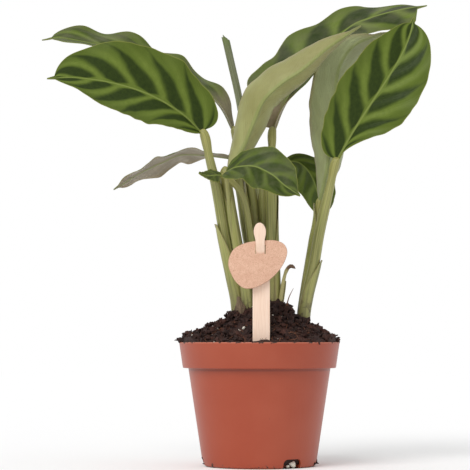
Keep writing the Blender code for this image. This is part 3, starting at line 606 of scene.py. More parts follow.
class LeafSettings(bpy.types.PropertyGroup):
    light: colour("Light bands", "Upper side between the dark patches", srgb(90, 107, 36))
    lighter: colour("Band centres", "Upper side in the middle of a light band", srgb(108, 124, 50))
    outer: colour("Outer green", "Upper side towards the margin", srgb(76, 90, 28))
    dark: colour("Dark patches", "Patches along the side veins", srgb(38, 53, 9))
    margin: colour("Margin", "The thin edge of a blade", srgb(124, 128, 60))
    midrib: colour("Midrib", "The line along the middle of a blade", srgb(128, 140, 72))
    thickness: length("Thickness", "Thickness of a blade", 0.00045)
    rib: length("Rib", "Height of the midrib under the base of a blade", 0.0012)
    quilting: length("Quilting", "Height of the swells between the side veins", 0.00018)
    flutter: length("Flutter", "Small uneven swings of the margin", 0.0005)
    unevenness: number("Unevenness", "How far the margins wander, as a share of the width", 0.11)
    vein_slope: number("Vein slope", "How far a side vein runs up the leaf, as a share of the midrib", 0.3)
    vein_bend: number("Vein bend", "Over 1 lets a side vein curve towards the tip", 1.15)
    rows: count("Rows", "Cells along a blade", 112)
    columns: count("Columns", "Cells across each half of a blade", 15)


class StalkSettings(bpy.types.PropertyGroup):
    green: colour("Green", "Main colour of the stalks", srgb(149, 152, 84))
    olive: colour("Olive", "Streaks along the stalks", srgb(174, 168, 106))
    foot: colour("Foot", "Brownish blush at the foot of a stalk", srgb(140, 128, 84))
    knee: colour("Knee", "The swollen joint under a blade", srgb(150, 146, 68))
    sheath: colour("Sheath", "The sheath that wraps the lower stalk", srgb(145, 152, 79))
    sheath_edge: colour("Sheath edge", "The thin dry edge of a sheath", srgb(142, 128, 86))
    groove: number("Groove", "Depth of the groove along a stalk, as a share of its radius", 0.12, 0.0, 0.5)
    sides: count("Sides", "Sides of a stalk", 20)
    rows: count("Rows", "Cells along a stalk", 72)


class SoilSettings(bpy.types.PropertyGroup):
    dark: colour("Dark", "Damp soil in the hollows", srgb(35, 13, 7))
    light: colour("Light", "Drier crumbs", srgb(84, 44, 29))
    fibre: colour("Fibre", "Root and peat fibres", srgb(134, 82, 54))
    grain: colour("White grains", "White grains in the soil", srgb(226, 220, 206))
    crumbs: count("Crumbs", "Number of loose crumbs", 2000)
    fibres: count("Fibres", "Number of fibres", 300)
    grains: count("White grains", "Number of white grains", 42)
    smallest: length("Smallest crumb", "Radius of the smallest crumb", 0.00025)
    largest: length("Largest crumb", "Radius of the largest crumb", 0.0026)
    seed: count("Seed", "Start of the random placing", 5)


class PotSettings(bpy.types.PropertyGroup):
    plastic: colour("Plastic", "Terracotta-coloured plastic", srgb(158, 64, 34))
    faded: colour("Faded plastic", "Paler, dustier places", srgb(168, 78, 50))
    dirt: colour("Dirt", "Soil that clings to the rim and foot", srgb(58, 40, 32))
    sides: count("Sides", "Sides of the pot", 144)


class LabelSettings(bpy.types.PropertyGroup):
    stick: colour("Stick", "Pale wood of the stick", srgb(243, 216, 196))
    stick_grain: colour("Stick grain", "Darker grain of the stick", srgb(233, 200, 174))
    plate: colour("Plate", "Wood of the plate's face", srgb(222, 180, 154))
    plate_grain: colour("Plate grain", "Darker grain of the plate", srgb(206, 160, 134))
    cut_edge: colour("Cut edge", "The plate's rounded edge", srgb(150, 106, 80))
    softening: length("Softening", "Rounding of the wooden edges", 0.00027)


class StageSettings(bpy.types.PropertyGroup):
    floor: colour("Floor", "The plain floor", (0.97, 0.97, 0.97))
    floor_size: length("Floor size", "Radius of the floor", 3.0)
    camera_distance: length("Camera distance", "From the pot's axis to the camera", 1.08)
    camera_height: length("Camera height", "The camera is level with the pot's rim", 0.069)
    camera_side: length("Camera side step", "The camera stands a little to the left", 0.0137)
    camera_aim: length("Aim height", "Height on the pot's axis at the middle of the picture", 0.1294)
    lens: number("Lens", "Focal length in millimetres for a 36 mm wide picture", 146.8, 10.0, 400.0)
    sky: number("Sky light", "Even light from all round", 0.7)
    key: number("Key light", "Soft sun from the upper left", 1.5)


SETTINGS = {
    "calathea_leaves": LeafSettings,
    "calathea_stalks": StalkSettings,
    "calathea_soil": SoilSettings,
    "calathea_pot": PotSettings,
    "calathea_label": LabelSettings,
    "calathea_stage": StageSettings,
}


# Leaves

@dataclass
class Look:
    """How one leaf is coloured and set."""

    stripes: float = 5.0  # dark patches along each half
    shift: float = 0.0  # where the first patch starts
    slant: float = 1.0  # how far the side veins run towards the tip, times the general slope
    depth: float = 1.0  # how dark the patches are
    patch: float = 0.7  # share of a dark patch near the midrib, of itself and the band beside it
    reach: float = 0.9  # how far out the patches end, of the way to the margin
    shade: float = 0.0  # painted shade: share of the dark colour laid over the whole upper side of a leaf that lies in the others' shadow
    painted_sheen: float = 0.0  # a painted greyish sheen over the upper side, standing in for the reflection of the bright white surroundings at grazing angles
    under: tuple = srgb(150, 148, 116)
    under_deep: tuple = srgb(118, 112, 86)
    deepening: float = 0.0  # share of the deeper colour at the underside's tip
    pale_base: float = 0.0  # how far from the stalk the upper side is as pale as the underside
    lobes: tuple = (3.0, 3.0)  # how far the two halves reach back past the stalk
    widening: tuple = (1.0, 1.0)  # how much wider the two halves are than in the solid
    seed: float = 0.0


LOOKS = {
    "front_left": Look(stripes=5.2, shift=0.1, lobes=(2.0, 13.0), seed=1.0),
    "back_left": Look(
        stripes=5.5, shift=0.6, depth=0.7, painted_sheen=0.45, under=srgb(150, 138, 112), pale_base=0.16, seed=2.0
    ),
    "low_left": Look(stripes=4.5, under=srgb(168, 158, 138), under_deep=srgb(128, 118, 96), seed=3.0),
    "pale_centre": Look(under=srgb(164, 167, 106), under_deep=srgb(134, 130, 72), deepening=0.7, seed=4.0),
    "upper_right": Look(
        shift=0.3, slant=0.45, patch=0.78, reach=0.97, painted_sheen=0.3, under=srgb(160, 138, 112),
        under_deep=srgb(130, 120, 80), widening=(1.0, 1.1), pale_base=0.14, seed=5.0,
    ),
    "pale_right": Look(under=srgb(160, 170, 120), under_deep=srgb(132, 136, 92), seed=6.0),
    "front_right": Look(stripes=4.6, shift=0.35, patch=0.72, lobes=(6.0, 12.0), seed=7.0),
    "back_right": Look(stripes=4.0, shift=0.2, depth=0.6, shade=0.12, widening=(1.0, 1.7), seed=8.0),
    "front_middle": Look(stripes=4.2, shift=0.5, depth=0.8, patch=0.74, shade=0.35, painted_sheen=0.22, seed=9.0),
    "small_left": Look(stripes=3.0, depth=0.6, shade=0.4, painted_sheen=0.3, seed=10.0),
}
ROW_CROWDING = 1.25  # cells lie closer together towards the stalk
COLUMN_CROWDING = 1.4  # and towards the midrib
RIB_HALF_WIDTH = 1.1
LEAF_BUMPS = 0.0001  # metres
UNDERSIDE_BUMPS = 0.00018
LOBE_REACH = 0.08  # share of the midrib over which a lobe behind the stalk fades out
VEINS_PER_STRIPE = 2.0  # swells between side veins
FINE_VEINS_PER_STRIPE = 9.0


def outline(leaf, half, t):
    """Half-width of a blade as a share of its greatest: round at the base, then drawn out to the tail."""
    t = t / (1 - TAIL)
    if t >= 1:
        return 0.0
    if t < leaf.widest:
        return sin(pi / 2 * t / leaf.widest) ** half.fullness
    bluntness = half.bluntness or leaf.bluntness
    return cos(pi / 2 * (t - leaf.widest) / (1 - leaf.widest)) ** bluntness


def least_width(t):
    """Half-width that a blade keeps: at its base, and along the tail that narrows to the tip."""
    if t < 0.5:
        return BASE_HALF_WIDTH
    return TAIL_HALF_WIDTH + TAIL_FLARE * min((1 - t) / TAIL, 1.0)


class Blade:
    """The fine surface of one leaf's blade."""

    def __init__(self, leaf, look, settings):
        self.leaf = leaf
        self.look = look
        self.settings = settings

    def half_row(self, hand, t, centre, along, side, up):
        """Places on the top and the underside from the midrib to one margin, with their marks."""
        look, settings = self.look, self.settings
        half = self.leaf.left if hand < 0 else self.leaf.right
        index = 0 if hand < 0 else 1

        def stir(pace, offset):
            return noise.noise(Vector((t * pace, hand * offset, look.seed)))

        share = outline(self.leaf, half, t)
        uneven = settings.unevenness * (stir(8, 3) + 0.5 * stir(19, 3)) * (1 - t)
        width = max(half.width * share * (1 + uneven), least_width(t)) * look.widening[index]
        lobe = look.lobes[index] * share * exp(-t / LOBE_REACH)
        rise, curl = through_three(half.rise, t), through_three(half.curl, t)
        point = centre.copy()
        before = 0.0
        row = []
        for k in range(1, settings.columns + 1):
            s = (k / settings.columns) ** COLUMN_CROWDING
            angle = radians(rise + curl * (s + before) / 2)
            normal = up * cos(angle) - side * sin(angle)
            point = point + (side * cos(angle) + up * sin(angle)) * (width * (s - before))
            before = s
            swing = half.wave * share * s**2 * sin(FULL_TURN * (half.waves * t + half.phase))
            vein = t - look.slant * settings.vein_slope * s**settings.vein_bend
            swell = sin(FULL_TURN * VEINS_PER_STRIPE * look.stripes * vein) * sin(pi * s)
            lift = (settings.quilting * swell + settings.flutter * stir(15, 5) * s**3) / MM * share
            place = point + up * swing + normal * lift - along * (lobe * s * s)
            row.append(self.two_sides(place, normal, t, hand * s, width))
        return row

    def two_sides(self, place, normal, t, s, width):
        """The place on the top and the one below it, with marks."""
        reach = width * abs(s)
        rib = self.settings.rib / MM * exp(-((reach / RIB_HALF_WIDTH) ** 2)) * (1 - 0.85 * t)
        half_thickness = self.settings.thickness / MM * (1 - 0.5 * s**4) / 2
        top = place + normal * (half_thickness - 0.3 * rib)
        under = place - normal * (half_thickness + rib)
        return top, under, (t, s, reach, width - reach)

    def add_to(self, body):
        leaf = self.leaf
        shares = [share**ROW_CROWDING for share in even(self.settings.rows)]
        middle = points_at([Vector(p) for p in leaf.midrib], shares)
        rows = []
        for t, centre, along in zip(shares, middle, tangents(middle)):
            face = through_three([Vector(f) for f in leaf.face], t)
            up = (face - along * face.dot(along)).normalized()
            side = along.cross(up)
            left, right = (self.half_row(hand, t, centre, along, side * hand, up) for hand in (-1, 1))
            width = left[-1][2][2]
            rows.append([*reversed(left), self.two_sides(centre, up, t, 0.0, width), *right])
        body.shell(*unzipped(rows))


BLADE_MARKS = ("along", "across", "from_midrib", "from_margin")


class Stripes:
    """The pattern of a blade: where its side veins run and where its dark patches lie."""

    def __init__(self, finish, look, settings):
        self.along, across = finish.mark("along"), finish.mark("across")
        self.out = abs(across)
        right = across.over(-0.001, 0.001)
        self.map = finish.trio(self.along * 5.0, across, look.seed)
        wander = finish.cloud(self.map, 2.2) - 0.5
        slope = self.out**settings.vein_bend * (look.slant * settings.vein_slope)
        self.vein = self.along - slope + wander * 0.035
        steps = self.vein * look.stripes + right * 0.4 + look.shift
        number = steps.math("FLOOR") + right * 31.0 + look.seed
        luck = finish.grade("ShaderNodeTexWhiteNoise", "Value", {"W": number}, noise_dimensions="1D")
        spread = abs(steps.math("FRACT") - 0.5) * 2.0
        end = luck * 0.14 + (look.reach - 0.04)
        taper = (self.out * end**-1.0).math("MINIMUM", 1.0) ** 2.2
        half_width = (taper * -1.0 + 1.0) * (luck * 0.14 + look.patch) * self.out.over(0.0, 0.1)
        self.patch = (half_width - spread).over(-0.2, 0.3) * self.out.over(0.0, 0.05)
        self.band_centre = spread.over(0.5, 1.0)
        turn = FULL_TURN * look.stripes
        broken = finish.cloud(self.map, 7.0).over(0.35, 0.7)
        self.fine = (self.vein * (turn * FINE_VEINS_PER_STRIPE)).math("SINE") * broken
        self.swell = (self.vein * (turn * VEINS_PER_STRIPE)).math("SINE")


def leaf_top(name, look, settings):
    """The striped upper side of a blade."""
    finish = Finish(name, settings.light, Specular_IOR_Level=0.16)
    stripes = Stripes(finish, look, settings)
    mottle = finish.cloud(stripes.map, 9.0, 3.0)
    finish.coat(stripes.band_centre * mottle * 1.3, settings.lighter)
    finish.coat(stripes.out.over(0.5, 1.0) * (mottle * 0.5 + 0.4), settings.outer)
    finish.coat(stripes.patch * (mottle * 0.3 + 0.8) * look.depth, settings.dark)
    # painted shade: darkens the whole upper side of a leaf that lies in the others' shadow
    if look.shade:
        finish.coat(mottle * 0.4 + look.shade - 0.2, settings.dark)
    finish.coat(stripes.fine.over(0.3, 1.0) * 0.12, srgb(58, 74, 22))
    # painted sheen: a greyish cast laid over the upper side where a glossy leaf would reflect the bright
    # white surroundings
    if look.painted_sheen:
        finish.coat(finish.cloud(stripes.map, 2.5, 3.0).over(0.3, 0.7) * look.painted_sheen, srgb(110, 108, 84))
    finish.coat(finish.mark("from_margin").over(0.55, 0.1), settings.margin)
    if look.pale_base:
        pale = stripes.along.over(look.pale_base + 0.06, look.pale_base - 0.06) * 0.85
        finish.coat(pale, finish.blend(mottle, look.under, look.under_deep))
    line = (finish.mark("from_midrib") + stripes.along * 0.3).over(0.85, 0.35)
    finish.coat(line * 0.75, settings.midrib)
    return finish.done(
        mottle * 0.14 + 0.4, stripes.fine * 0.25 + stripes.swell * 0.3 + mottle * 0.4, LEAF_BUMPS
    )


def leaf_under(name, look, settings):
    """The plain, paler underside of a blade, with the stripes showing through faintly."""
    finish = Finish(name, look.under, Sheen_Weight=0.15, Sheen_Roughness=0.5)
    stripes = Stripes(finish, look, settings)
    mottle = finish.cloud(stripes.map, 6.0, 3.0)
    broad = finish.cloud(stripes.map, 1.3)
    finish.coat(broad.over(0.3, 0.7) * 0.7 + mottle * 0.15, look.under_deep)
    streaks = finish.cloud(finish.trio(stripes.vein * 60.0, stripes.out * 1.5, look.seed), 1.0, 3.0)
    finish.coat(streaks.over(0.5, 0.75) * 0.45, look.under_deep)
    if look.deepening:
        finish.coat(stripes.along.over(0.3, 0.75) * look.deepening, look.under_deep)
    finish.coat(finish.mark("from_margin").over(3.5, 0.0) * 0.5, srgb(152, 136, 92))
    for share in (stripes.patch, stripes.fine.over(0.3, 1.0)):
        finish.coat(share * 0.22, look.under_deep)
    finish.coat(finish.mark("from_midrib").over(1.4, 0.6) * 0.6, settings.midrib)
    return finish.done(
        mottle * 0.15 + 0.48, stripes.fine * 0.4 + stripes.swell * 0.5 + mottle * 0.6, UNDERSIDE_BUMPS
    )


# Stalks

@dataclass
class Wrap:
    """The sheath round the lower part of a stalk, open at one side."""

    top: float  # height where it ends
    back: float = 0.0  # degrees from the front round to the middle of the sheath
    spread: float = 250.0  # degrees that it wraps at the foot
    loose: float = 0.5  # millimetres outside the stalk


WRAPS = {  # top, back, spread and loose
    "front_left": Wrap(136.5, -75.0, 300.0, 1.1),
    "back_left": Wrap(164.0, -110.0, 300.0, 1.2),
    "low_left": Wrap(160.0, 100.0, 280.0, 1.2),
    "pale_centre": Wrap(158.0, -90.0, 320.0, 0.8),
    "upper_right": Wrap(158.0, 150.0, 300.0, 0.6),
    "pale_right": Wrap(148.0, -100.0, 320.0, 0.9),
    "front_right": Wrap(117.0, 80.0, 280.0, 0.9),
    "back_right": Wrap(162.0, 160.0, 320.0, 1.2),
    "front_middle": Wrap(150.0, 60.0, 280.0, 0.6),
    "small_left": Wrap(122.0, 100.0, 200.0, 1.0),
}
STALK_MARKS = ("along", "side_x", "side_y", "edge")
FLESH = 0.35  # how far the stalks' skin lies outside their solids, up to the knee
SPLASH = (0.1, 0.08)  # metres: no specks of soil above the first, most below the second
WRAP_FOOT_Z = 74
WRAP_COLUMNS = 22
SHEATH_THICKNESS = 0.3
SLIM_START = 0.72  # share of its length from which a stalk gets slimmer
SLIM_RUN = 0.16  # share of its length over which it does
KNEE_SLIMMING = {  # share of their thickness that some stalks keep under the knee
    "upper_right": 0.68, "pale_right": 0.62, "front_left": 0.85, "front_right": 0.85, "front_middle": 0.55
}
CROWDING = 1.5  # a stalk's points lie closer together towards its knee


def stalk_line(leaf, settings):
    """Points of a stalk, from the soil into the base of its blade, with their shares of its length."""
    base = Vector(leaf.midrib[0])
    heading = (Vector(leaf.midrib[1]) - base).normalized()
    foot = Vector((*leaf.foot, STALK_FOOT_Z))
    arrival = heading
    end = base + heading * 1.2
    if leaf.knee:
        top = leaf.radii[1]
        arrival = Vector(leaf.knee).normalized()
        end = base + heading * (0.3 - top) + arrival * top
    route = [foot, *map(Vector, leaf.stalk), end - arrival * KNEE_RUN, end]
    shares = [1 - (1 - share) ** CROWDING for share in even(settings.rows)]
    return points_at(route, shares), shares


def closing(share, start, run):
    """1 along a stalk, and less from start on, so that it ends round."""
    return sqrt(max(1 - max(share - start, 0.0) / run, 0.02))


def stalk_radius(leaf, share):
    """A stalk is fleshy up to where its sheath ends, then slimmer, swells at its knee and ends round."""
    foot, top = leaf.radii
    slim = 1 - (1 - KNEE_SLIMMING.get(leaf.name, 1.0)) * eased((share - SLIM_START) / SLIM_RUN)
    swell = sin(pi * (share - KNEE) / (1 - KNEE)) * KNEE_SWELL if share > KNEE else 0.0
    flesh = FLESH * eased((0.94 - share) / 0.1)
    return ((foot + (top - foot) * share) * (1 + swell) + flesh) * slim * closing(share, 0.985, 0.0155)


def add_tube(body, points, shares, radius, sides, groove=0.0):
    """A round or grooved solid along points. radius gives its radius at a share of its length."""
    rows = []
    for place, share, axes in zip(points, shares, frames(points)):
        row = []
        for k in range(sides):
            angle = FULL_TURN * k / sides
            turned = (angle + pi) % FULL_TURN - pi
            reach = radius(share) * (1 - groove * exp(-((turned / 0.45) ** 2)) * (share < KNEE))
            row.append(cell_round(place, axes, angle, reach, share))
        rows.append(row)
    body.rings(*unzipped(rows))


def add_wrap(body, leaf, wrap, points, shares):
    """A thin sheath that wraps the lower stalk, its sides drawn in to a point at the top."""
    low = next(i for i, p in enumerate(points) if p.z > WRAP_FOOT_Z)
    high = max(i for i, p in enumerate(points) if p.z < wrap.top)
    axes = frames(points)
    rows = []
    for i in range(low, high + 1):
        u = (i - low) / (high - low)
        spread = radians(wrap.spread) * (1 - u**2.2 * 0.82)
        stand_off = stalk_radius(leaf, shares[i]) + wrap.loose * (0.5 + 0.5 * u)
        row = []
        for w in even(WRAP_COLUMNS):
            edge = abs(2 * w - 1)
            angle = radians(wrap.back) + spread * (w - 0.5)
            ripple = noise.noise(Vector((angle * 2, u * 6, leaf.radii[0]))) * 0.25 * edge
            reach = stand_off + ripple + 0.45 * edge**4 * u
            row.append(cell_round(points[i], axes[i], angle, reach, shares[i], max(edge, u**3)))
        rows.append(row)
    body.sheet(rows, SHEATH_THICKNESS, 1)


def add_stalk(body, leaf, settings):
    points, shares = stalk_line(leaf, settings)
    add_tube(body, points, shares, partial(stalk_radius, leaf), settings.sides, settings.groove)
    add_wrap(body, leaf, WRAPS[leaf.name], points, shares)


def splash_soil(finish):
    """Specks of soil on whatever stands low in it."""
    specks = finish.cloud(finish.place(), 420.0).over(0.5, 0.62)
    finish.coat(finish.height().over(*SPLASH) * specks * 0.8, srgb(70, 52, 38))


def stalk_finish(settings):
    """Olive stalk with fine streaks, a blush at its foot and a yellow knee."""
    finish = Finish("stalk", settings.green, Coat_Weight=0.1, Coat_Roughness=0.3)
    along = finish.mark("along")
    streaks = finish.streaks(1.2, 3.0, 4.0, 0.6)
    fine = finish.streaks(0.4, 9.0)
    finish.coat(streaks.over(0.35, 0.65), settings.olive)
    finish.coat(fine.over(0.42, 0.6) * 0.6, srgb(90, 94, 46))
    finish.coat(along.over(0.45, 0.1) * streaks * 1.2, settings.foot)
    finish.coat(along.over(KNEE - 0.05, KNEE + 0.03) * 0.35, settings.knee)
    splash_soil(finish)
    return finish.done(streaks * 0.2 + 0.32, fine + streaks * 0.5, 0.00015)


def sheath_finish(settings):
    """Green sheath with fine ribs, whose edge is thin, dry and brownish."""
    finish = Finish("sheath", settings.sheath, Coat_Weight=0.06, Coat_Roughness=0.35)
    ribs = finish.streaks(0.4, 8.0)
    broad = finish.streaks(1.5, 1.6, 2.0)
    finish.coat(ribs.over(0.35, 0.65), settings.olive)
    finish.coat(broad.over(0.45, 0.65) * 0.6, srgb(100, 100, 56))
    finish.coat(ribs.over(0.55, 0.7) * 0.45, srgb(92, 96, 48))
    finish.coat(finish.mark("along").over(0.4, 0.05) * 0.5, settings.foot)
    finish.coat(finish.mark("edge").over(0.85, 1.0) * (ribs * 0.6 + 0.3), settings.sheath_edge)
    splash_soil(finish)
    return finish.done(ribs * 0.25 + 0.35, ribs, 0.0002)


# Spear, shoot and dry sheath

SPEAR_POINTS = [(4, 11.5, 60), (3.6, 11.8, 95), (1.7, 14, 127.3), (-1.1, 17, 156.2), (-7.3, 26, 185.8),
                (-11.9, 31, 212.3), (-16.2, 32, 231.8), (-20.0, 32, 248.6)]
SPEAR_RADII = (2.3, 2.5)
SHOOT_POINTS = [(10.6, -8.5, 70), (11.0, -7.5, 82), (11.9, -6, 92), (13.6, -6, 103.8), (15.3, -7, 109.4),
                (17.6, -8, 111.6), (20.1, -9, 110.1)]
SHOOT_RADII = (1.5, 1.0)
ROLL_TURNS = 1.7
ROLL_START = -1.2  # radians from the front
ROLL_FOOT_Z = 150
DRY_SHEATH = Leaf(
    name="dead_sheath",
    midrib=[(-9.2, -12.6, 72), (-9.6, -12.8, 80.3), (-10.4, -12.8, 87), (-11.9, -12.6, 94.5)],
    face=(FRONT, (0, -1, 0.1), (-0.1, -1, 0.2)),
    left=Half(6, rise=(-25, -30, -30), curl=(-20, -20, -20), wave=0.4, waves=1.5, phase=0.2),
    right=Half(5, rise=(-25, -30, -30), curl=(-20, -20, -20), wave=0.4, waves=1.5, phase=0.6),
    stalk=[],
    foot=(0, 0),
    widest=0.5,
)


def add_rolled_leaf(body):
    """A young leaf that is rolled up round its stalk: a spiral sheet, its outer edge ending lower."""
    rows, columns = 70, 44
    points = points_at([Vector(p) for p in SPEAR_POINTS], even(rows))
    axes = frames(points)
    low = next(i for i, p in enumerate(points) if p.z > ROLL_FOOT_Z)
    foot, top = SPEAR_RADII
    grid = []
    for u in even(rows - low):
        full = (foot + (top - foot) * u) * (0.85 + 0.15 * sin(pi / 2 * min(u * 2.5 + 0.25, 1.0)))
        row = []
        for w in even(columns):
            angle = FULL_TURN * ROLL_TURNS * w + ROLL_START
            along = low + u * (rows - low) * (1 - 0.02 * w - 0.012 * (1 + sin(angle)))
            j = min(int(along), rows - 1)
            place = points[j].lerp(points[j + 1], along - j)
            row.append(cell_round(place, axes[j], angle, full * (0.35 + 0.65 * w), u, w**6))
        grid.append(row)
    body.sheet(grid, SHEATH_THICKNESS, 1)
    stem = points[: low + 12]
    shares = [share * 0.85 for share in even(len(stem) - 1)]
    add_tube(body, stem, shares, lambda share: foot * (1 - 0.25 * share**3), 20, 0.1)


def add_shoot(body):
    """The small shoot, pinched below its withered tip, with a short sheath round its middle."""
    rows, columns = 40, 14
    points = points_at([Vector(p) for p in SHOOT_POINTS], even(rows))
    foot, top = SHOOT_RADII

    def radius(share):
        pinch = 1 - 0.15 * exp(-(((share - 0.78) / 0.08) ** 2))
        crumple = 1 + 0.18 * noise.noise(Vector((share * 22, 0, 3))) * (share > 0.75)
        return (foot + (top - foot) * share) * pinch * crumple * closing(share, 0.96, 0.041)

    add_tube(body, points, even(rows), radius, 16)
    wrapped = points[6:30]
    grid = []
    for u, place, axes in zip(even(len(wrapped) - 1), wrapped, frames(wrapped)):
        reach = radius(0.4) + 0.25 + 0.3 * u
        row = []
        for w in even(columns):
            angle = radians(150) + radians(220) * (1 - 0.8 * u**2) * (w - 0.5)
            row.append(cell_round(place, axes, angle, reach, u * 0.7, max(abs(2 * w - 1), u**3)))
        grid.append(row)
    body.sheet(grid, 0.25, 0)


def rolled_finish():
    """Grey-green underside of a rolled leaf, with streaks along it and a green edge."""
    finish = Finish("rolled_leaf", srgb(132, 136, 108), Specular_IOR_Level=0.3)
    streaks = finish.streaks(1.5, 4.0)
    finish.coat(streaks.over(0.3, 0.7), srgb(112, 118, 82))
    finish.coat(finish.mark("along").over(0.9, 1.0) * 0.5, srgb(104, 124, 54))
    finish.coat(finish.mark("edge").over(0.6, 1.0) * 0.6, srgb(96, 112, 48))
    return finish.done(streaks * 0.2 + 0.45, streaks, 0.0002)


def shoot_finish():
    """Fresh green below, brown and withered at the tip."""
    finish = Finish("shoot", srgb(160, 160, 92), Coat_Weight=0.05)
    streaks = finish.streaks(3.0, 4.0)
    finish.coat(streaks, srgb(190, 176, 130))
    withered = (finish.mark("along") + streaks * 0.06).over(0.87, 0.93)
    finish.coat(withered, finish.blend(streaks, srgb(74, 54, 40), srgb(134, 104, 78)))
    return finish.done(withered * 0.35 + 0.42, streaks, 0.0003)


def dry_finish():
    """Dry brown papery sheath."""
    finish = Finish("dry_sheath", srgb(92, 76, 60))
    grain = finish.trio(finish.mark("along") * 1.5, finish.mark("across") * 9.0, 0.0)
    fibres = finish.cloud(grain, 2.4, 4.0, 0.6)
    finish.coat(fibres.over(0.3, 0.7), srgb(148, 126, 98))
    finish.coat(finish.cloud(finish.place(), 160.0, 3.0).over(0.5, 0.75) * 0.7, srgb(62, 46, 36))
    return finish.done(fibres * 0.2 + 0.7, fibres, 0.0004)


# Pot

POT_HEIGHT = 69.0
RIM_RADIUS = 45.0
BAND_FOOT_RADIUS = 43.0
BAND_HEIGHT = 14.4
BODY_TOP_RADIUS = 39.8
FOOT_RADIUS = 31.8
WALL = 1.2
FLOOR = 1.6
NOTCH_WIDTH = 11.5
NOTCH_HEIGHT = 5.0
NOTCH_REACH = 8.0
NOTCH_ROUNDING = 2.4
NOTCH_COUNT = 3
FIRST_NOTCH = -56.0


def rounded_profile(points, radii):
    """A line of radius and height pairs with its corners rounded."""
    found = [points[0]]
    for before, here, after, size in zip(points, points[1:], points[2:], radii):
        a, b, c = Vector(before), Vector(here), Vector(after)
        first = b + (a - b).normalized() * size
        last = b + (c - b).normalized() * size
        for i in range(5):
            t = i / 4
            found.append(tuple(first.lerp(b, t).lerp(b.lerp(last, t), t)))
    found.append(points[-1])
    return found


def pot_profile():
    """Radius and height from the middle of the floor inside, over the rim, to the middle of the underside."""
    shoulder = POT_HEIGHT - BAND_HEIGHT
    points = [
        (0.01, FLOOR),
        (FOOT_RADIUS - WALL - 0.2, FLOOR),
        (BODY_TOP_RADIUS - WALL, shoulder - 0.9),
        (BAND_FOOT_RADIUS - WALL, shoulder + 0.9),
        (RIM_RADIUS - WALL, POT_HEIGHT),
        (RIM_RADIUS, POT_HEIGHT),
        (RIM_RADIUS - 0.06, POT_HEIGHT - 1.4),
        (BAND_FOOT_RADIUS, shoulder),
        (BODY_TOP_RADIUS + 0.1, shoulder - 0.1),
        (BODY_TOP_RADIUS - 0.1, shoulder - 1.6),
        (FOOT_RADIUS + 0.35, 3.2),
        (FOOT_RADIUS - 0.5, 0.0),
        (0.01, 0.0),
    ]
    return rounded_profile(points, (1.0, 0.6, 0.5, 0.3, 0.45, 0.5, 0.5, 0.35, 0.5, 1.2, 1.1))


def notch_turn(index):
    """Degrees round the pot to one of its drain notches."""
    return FIRST_NOTCH + 360 / NOTCH_COUNT * index


def notch_cutter(index):
    reach = NOTCH_REACH + 8
    turn = Matrix.Rotation(radians(notch_turn(index)), 4, "Z")
    shift = Matrix.Translation((FOOT_RADIUS - NOTCH_REACH + reach / 2, 0, 0))
    size = (reach, NOTCH_WIDTH, 2 * NOTCH_HEIGHT)
    return block_cutter("notch_cutter", size, turn @ shift, NOTCH_ROUNDING)


def cut_away(obj, cutters):
    """Cuts the cutters out of the object for good, and removes them."""
    for cutter in cutters:
        boolean = obj.modifiers.new(cutter.name, "BOOLEAN")
        boolean.operation = "DIFFERENCE"
        boolean.object = cutter
    graph = bpy.context.evaluated_depsgraph_get()
    mesh = bpy.data.meshes.new_from_object(obj.evaluated_get(graph))
    obj.modifiers.clear()
    obj.data = mesh
    for cutter in cutters:
        bpy.data.objects.remove(cutter, do_unlink=True)


def pot_finish(settings):
    """Satin moulded plastic, a little dusty, with soil on its rim and at its foot, a painted shadow line
    under its band and a painted highlight along its rim.
    """
    finish = Finish("nursery_pot", settings.plastic, Coat_Weight=0.05, Coat_Roughness=0.25)
    place, height = finish.place(), finish.height()
    grain = finish.cloud(place, 900.0)
    streaks = finish.cloud(finish.stretched(place, (1, 1, 0.05)), 160.0, 3.0)
    finish.coat(finish.cloud(place, 26.0, 3.0).over(0.35, 0.7) * 0.5 + streaks * 0.15, settings.faded)
    rim, band_shadow_height = POT_HEIGHT * MM, (POT_HEIGHT - BAND_HEIGHT - 0.8) * MM
    # painted shadow: a darker line just under the band's overhang
    finish.coat(abs(height - band_shadow_height).over(0.0012, 0.0001) * 0.55, srgb(112, 50, 36))
    # painted highlight: a lighter line along the top of the rim's lip
    finish.coat(height.over(rim - 0.0009, rim - 0.0003) * 0.4, srgb(205, 132, 106))
    specks = finish.cloud(place, 330.0, 4.0, 0.65) + finish.cloud(place, 60.0) * 0.08
    near_rim = height.over(rim - 0.0016, rim) * 0.22
    dirt = (specks + height.over(0.004, 0.0) * 0.17 + near_rim).over(0.75, 0.84)
    finish.coat(dirt, settings.dirt)
    return finish.done(dirt * 0.4 + streaks * 0.1 + 0.34, grain * 0.25 + streaks * 0.4 + dirt, 0.00012)


# Soil

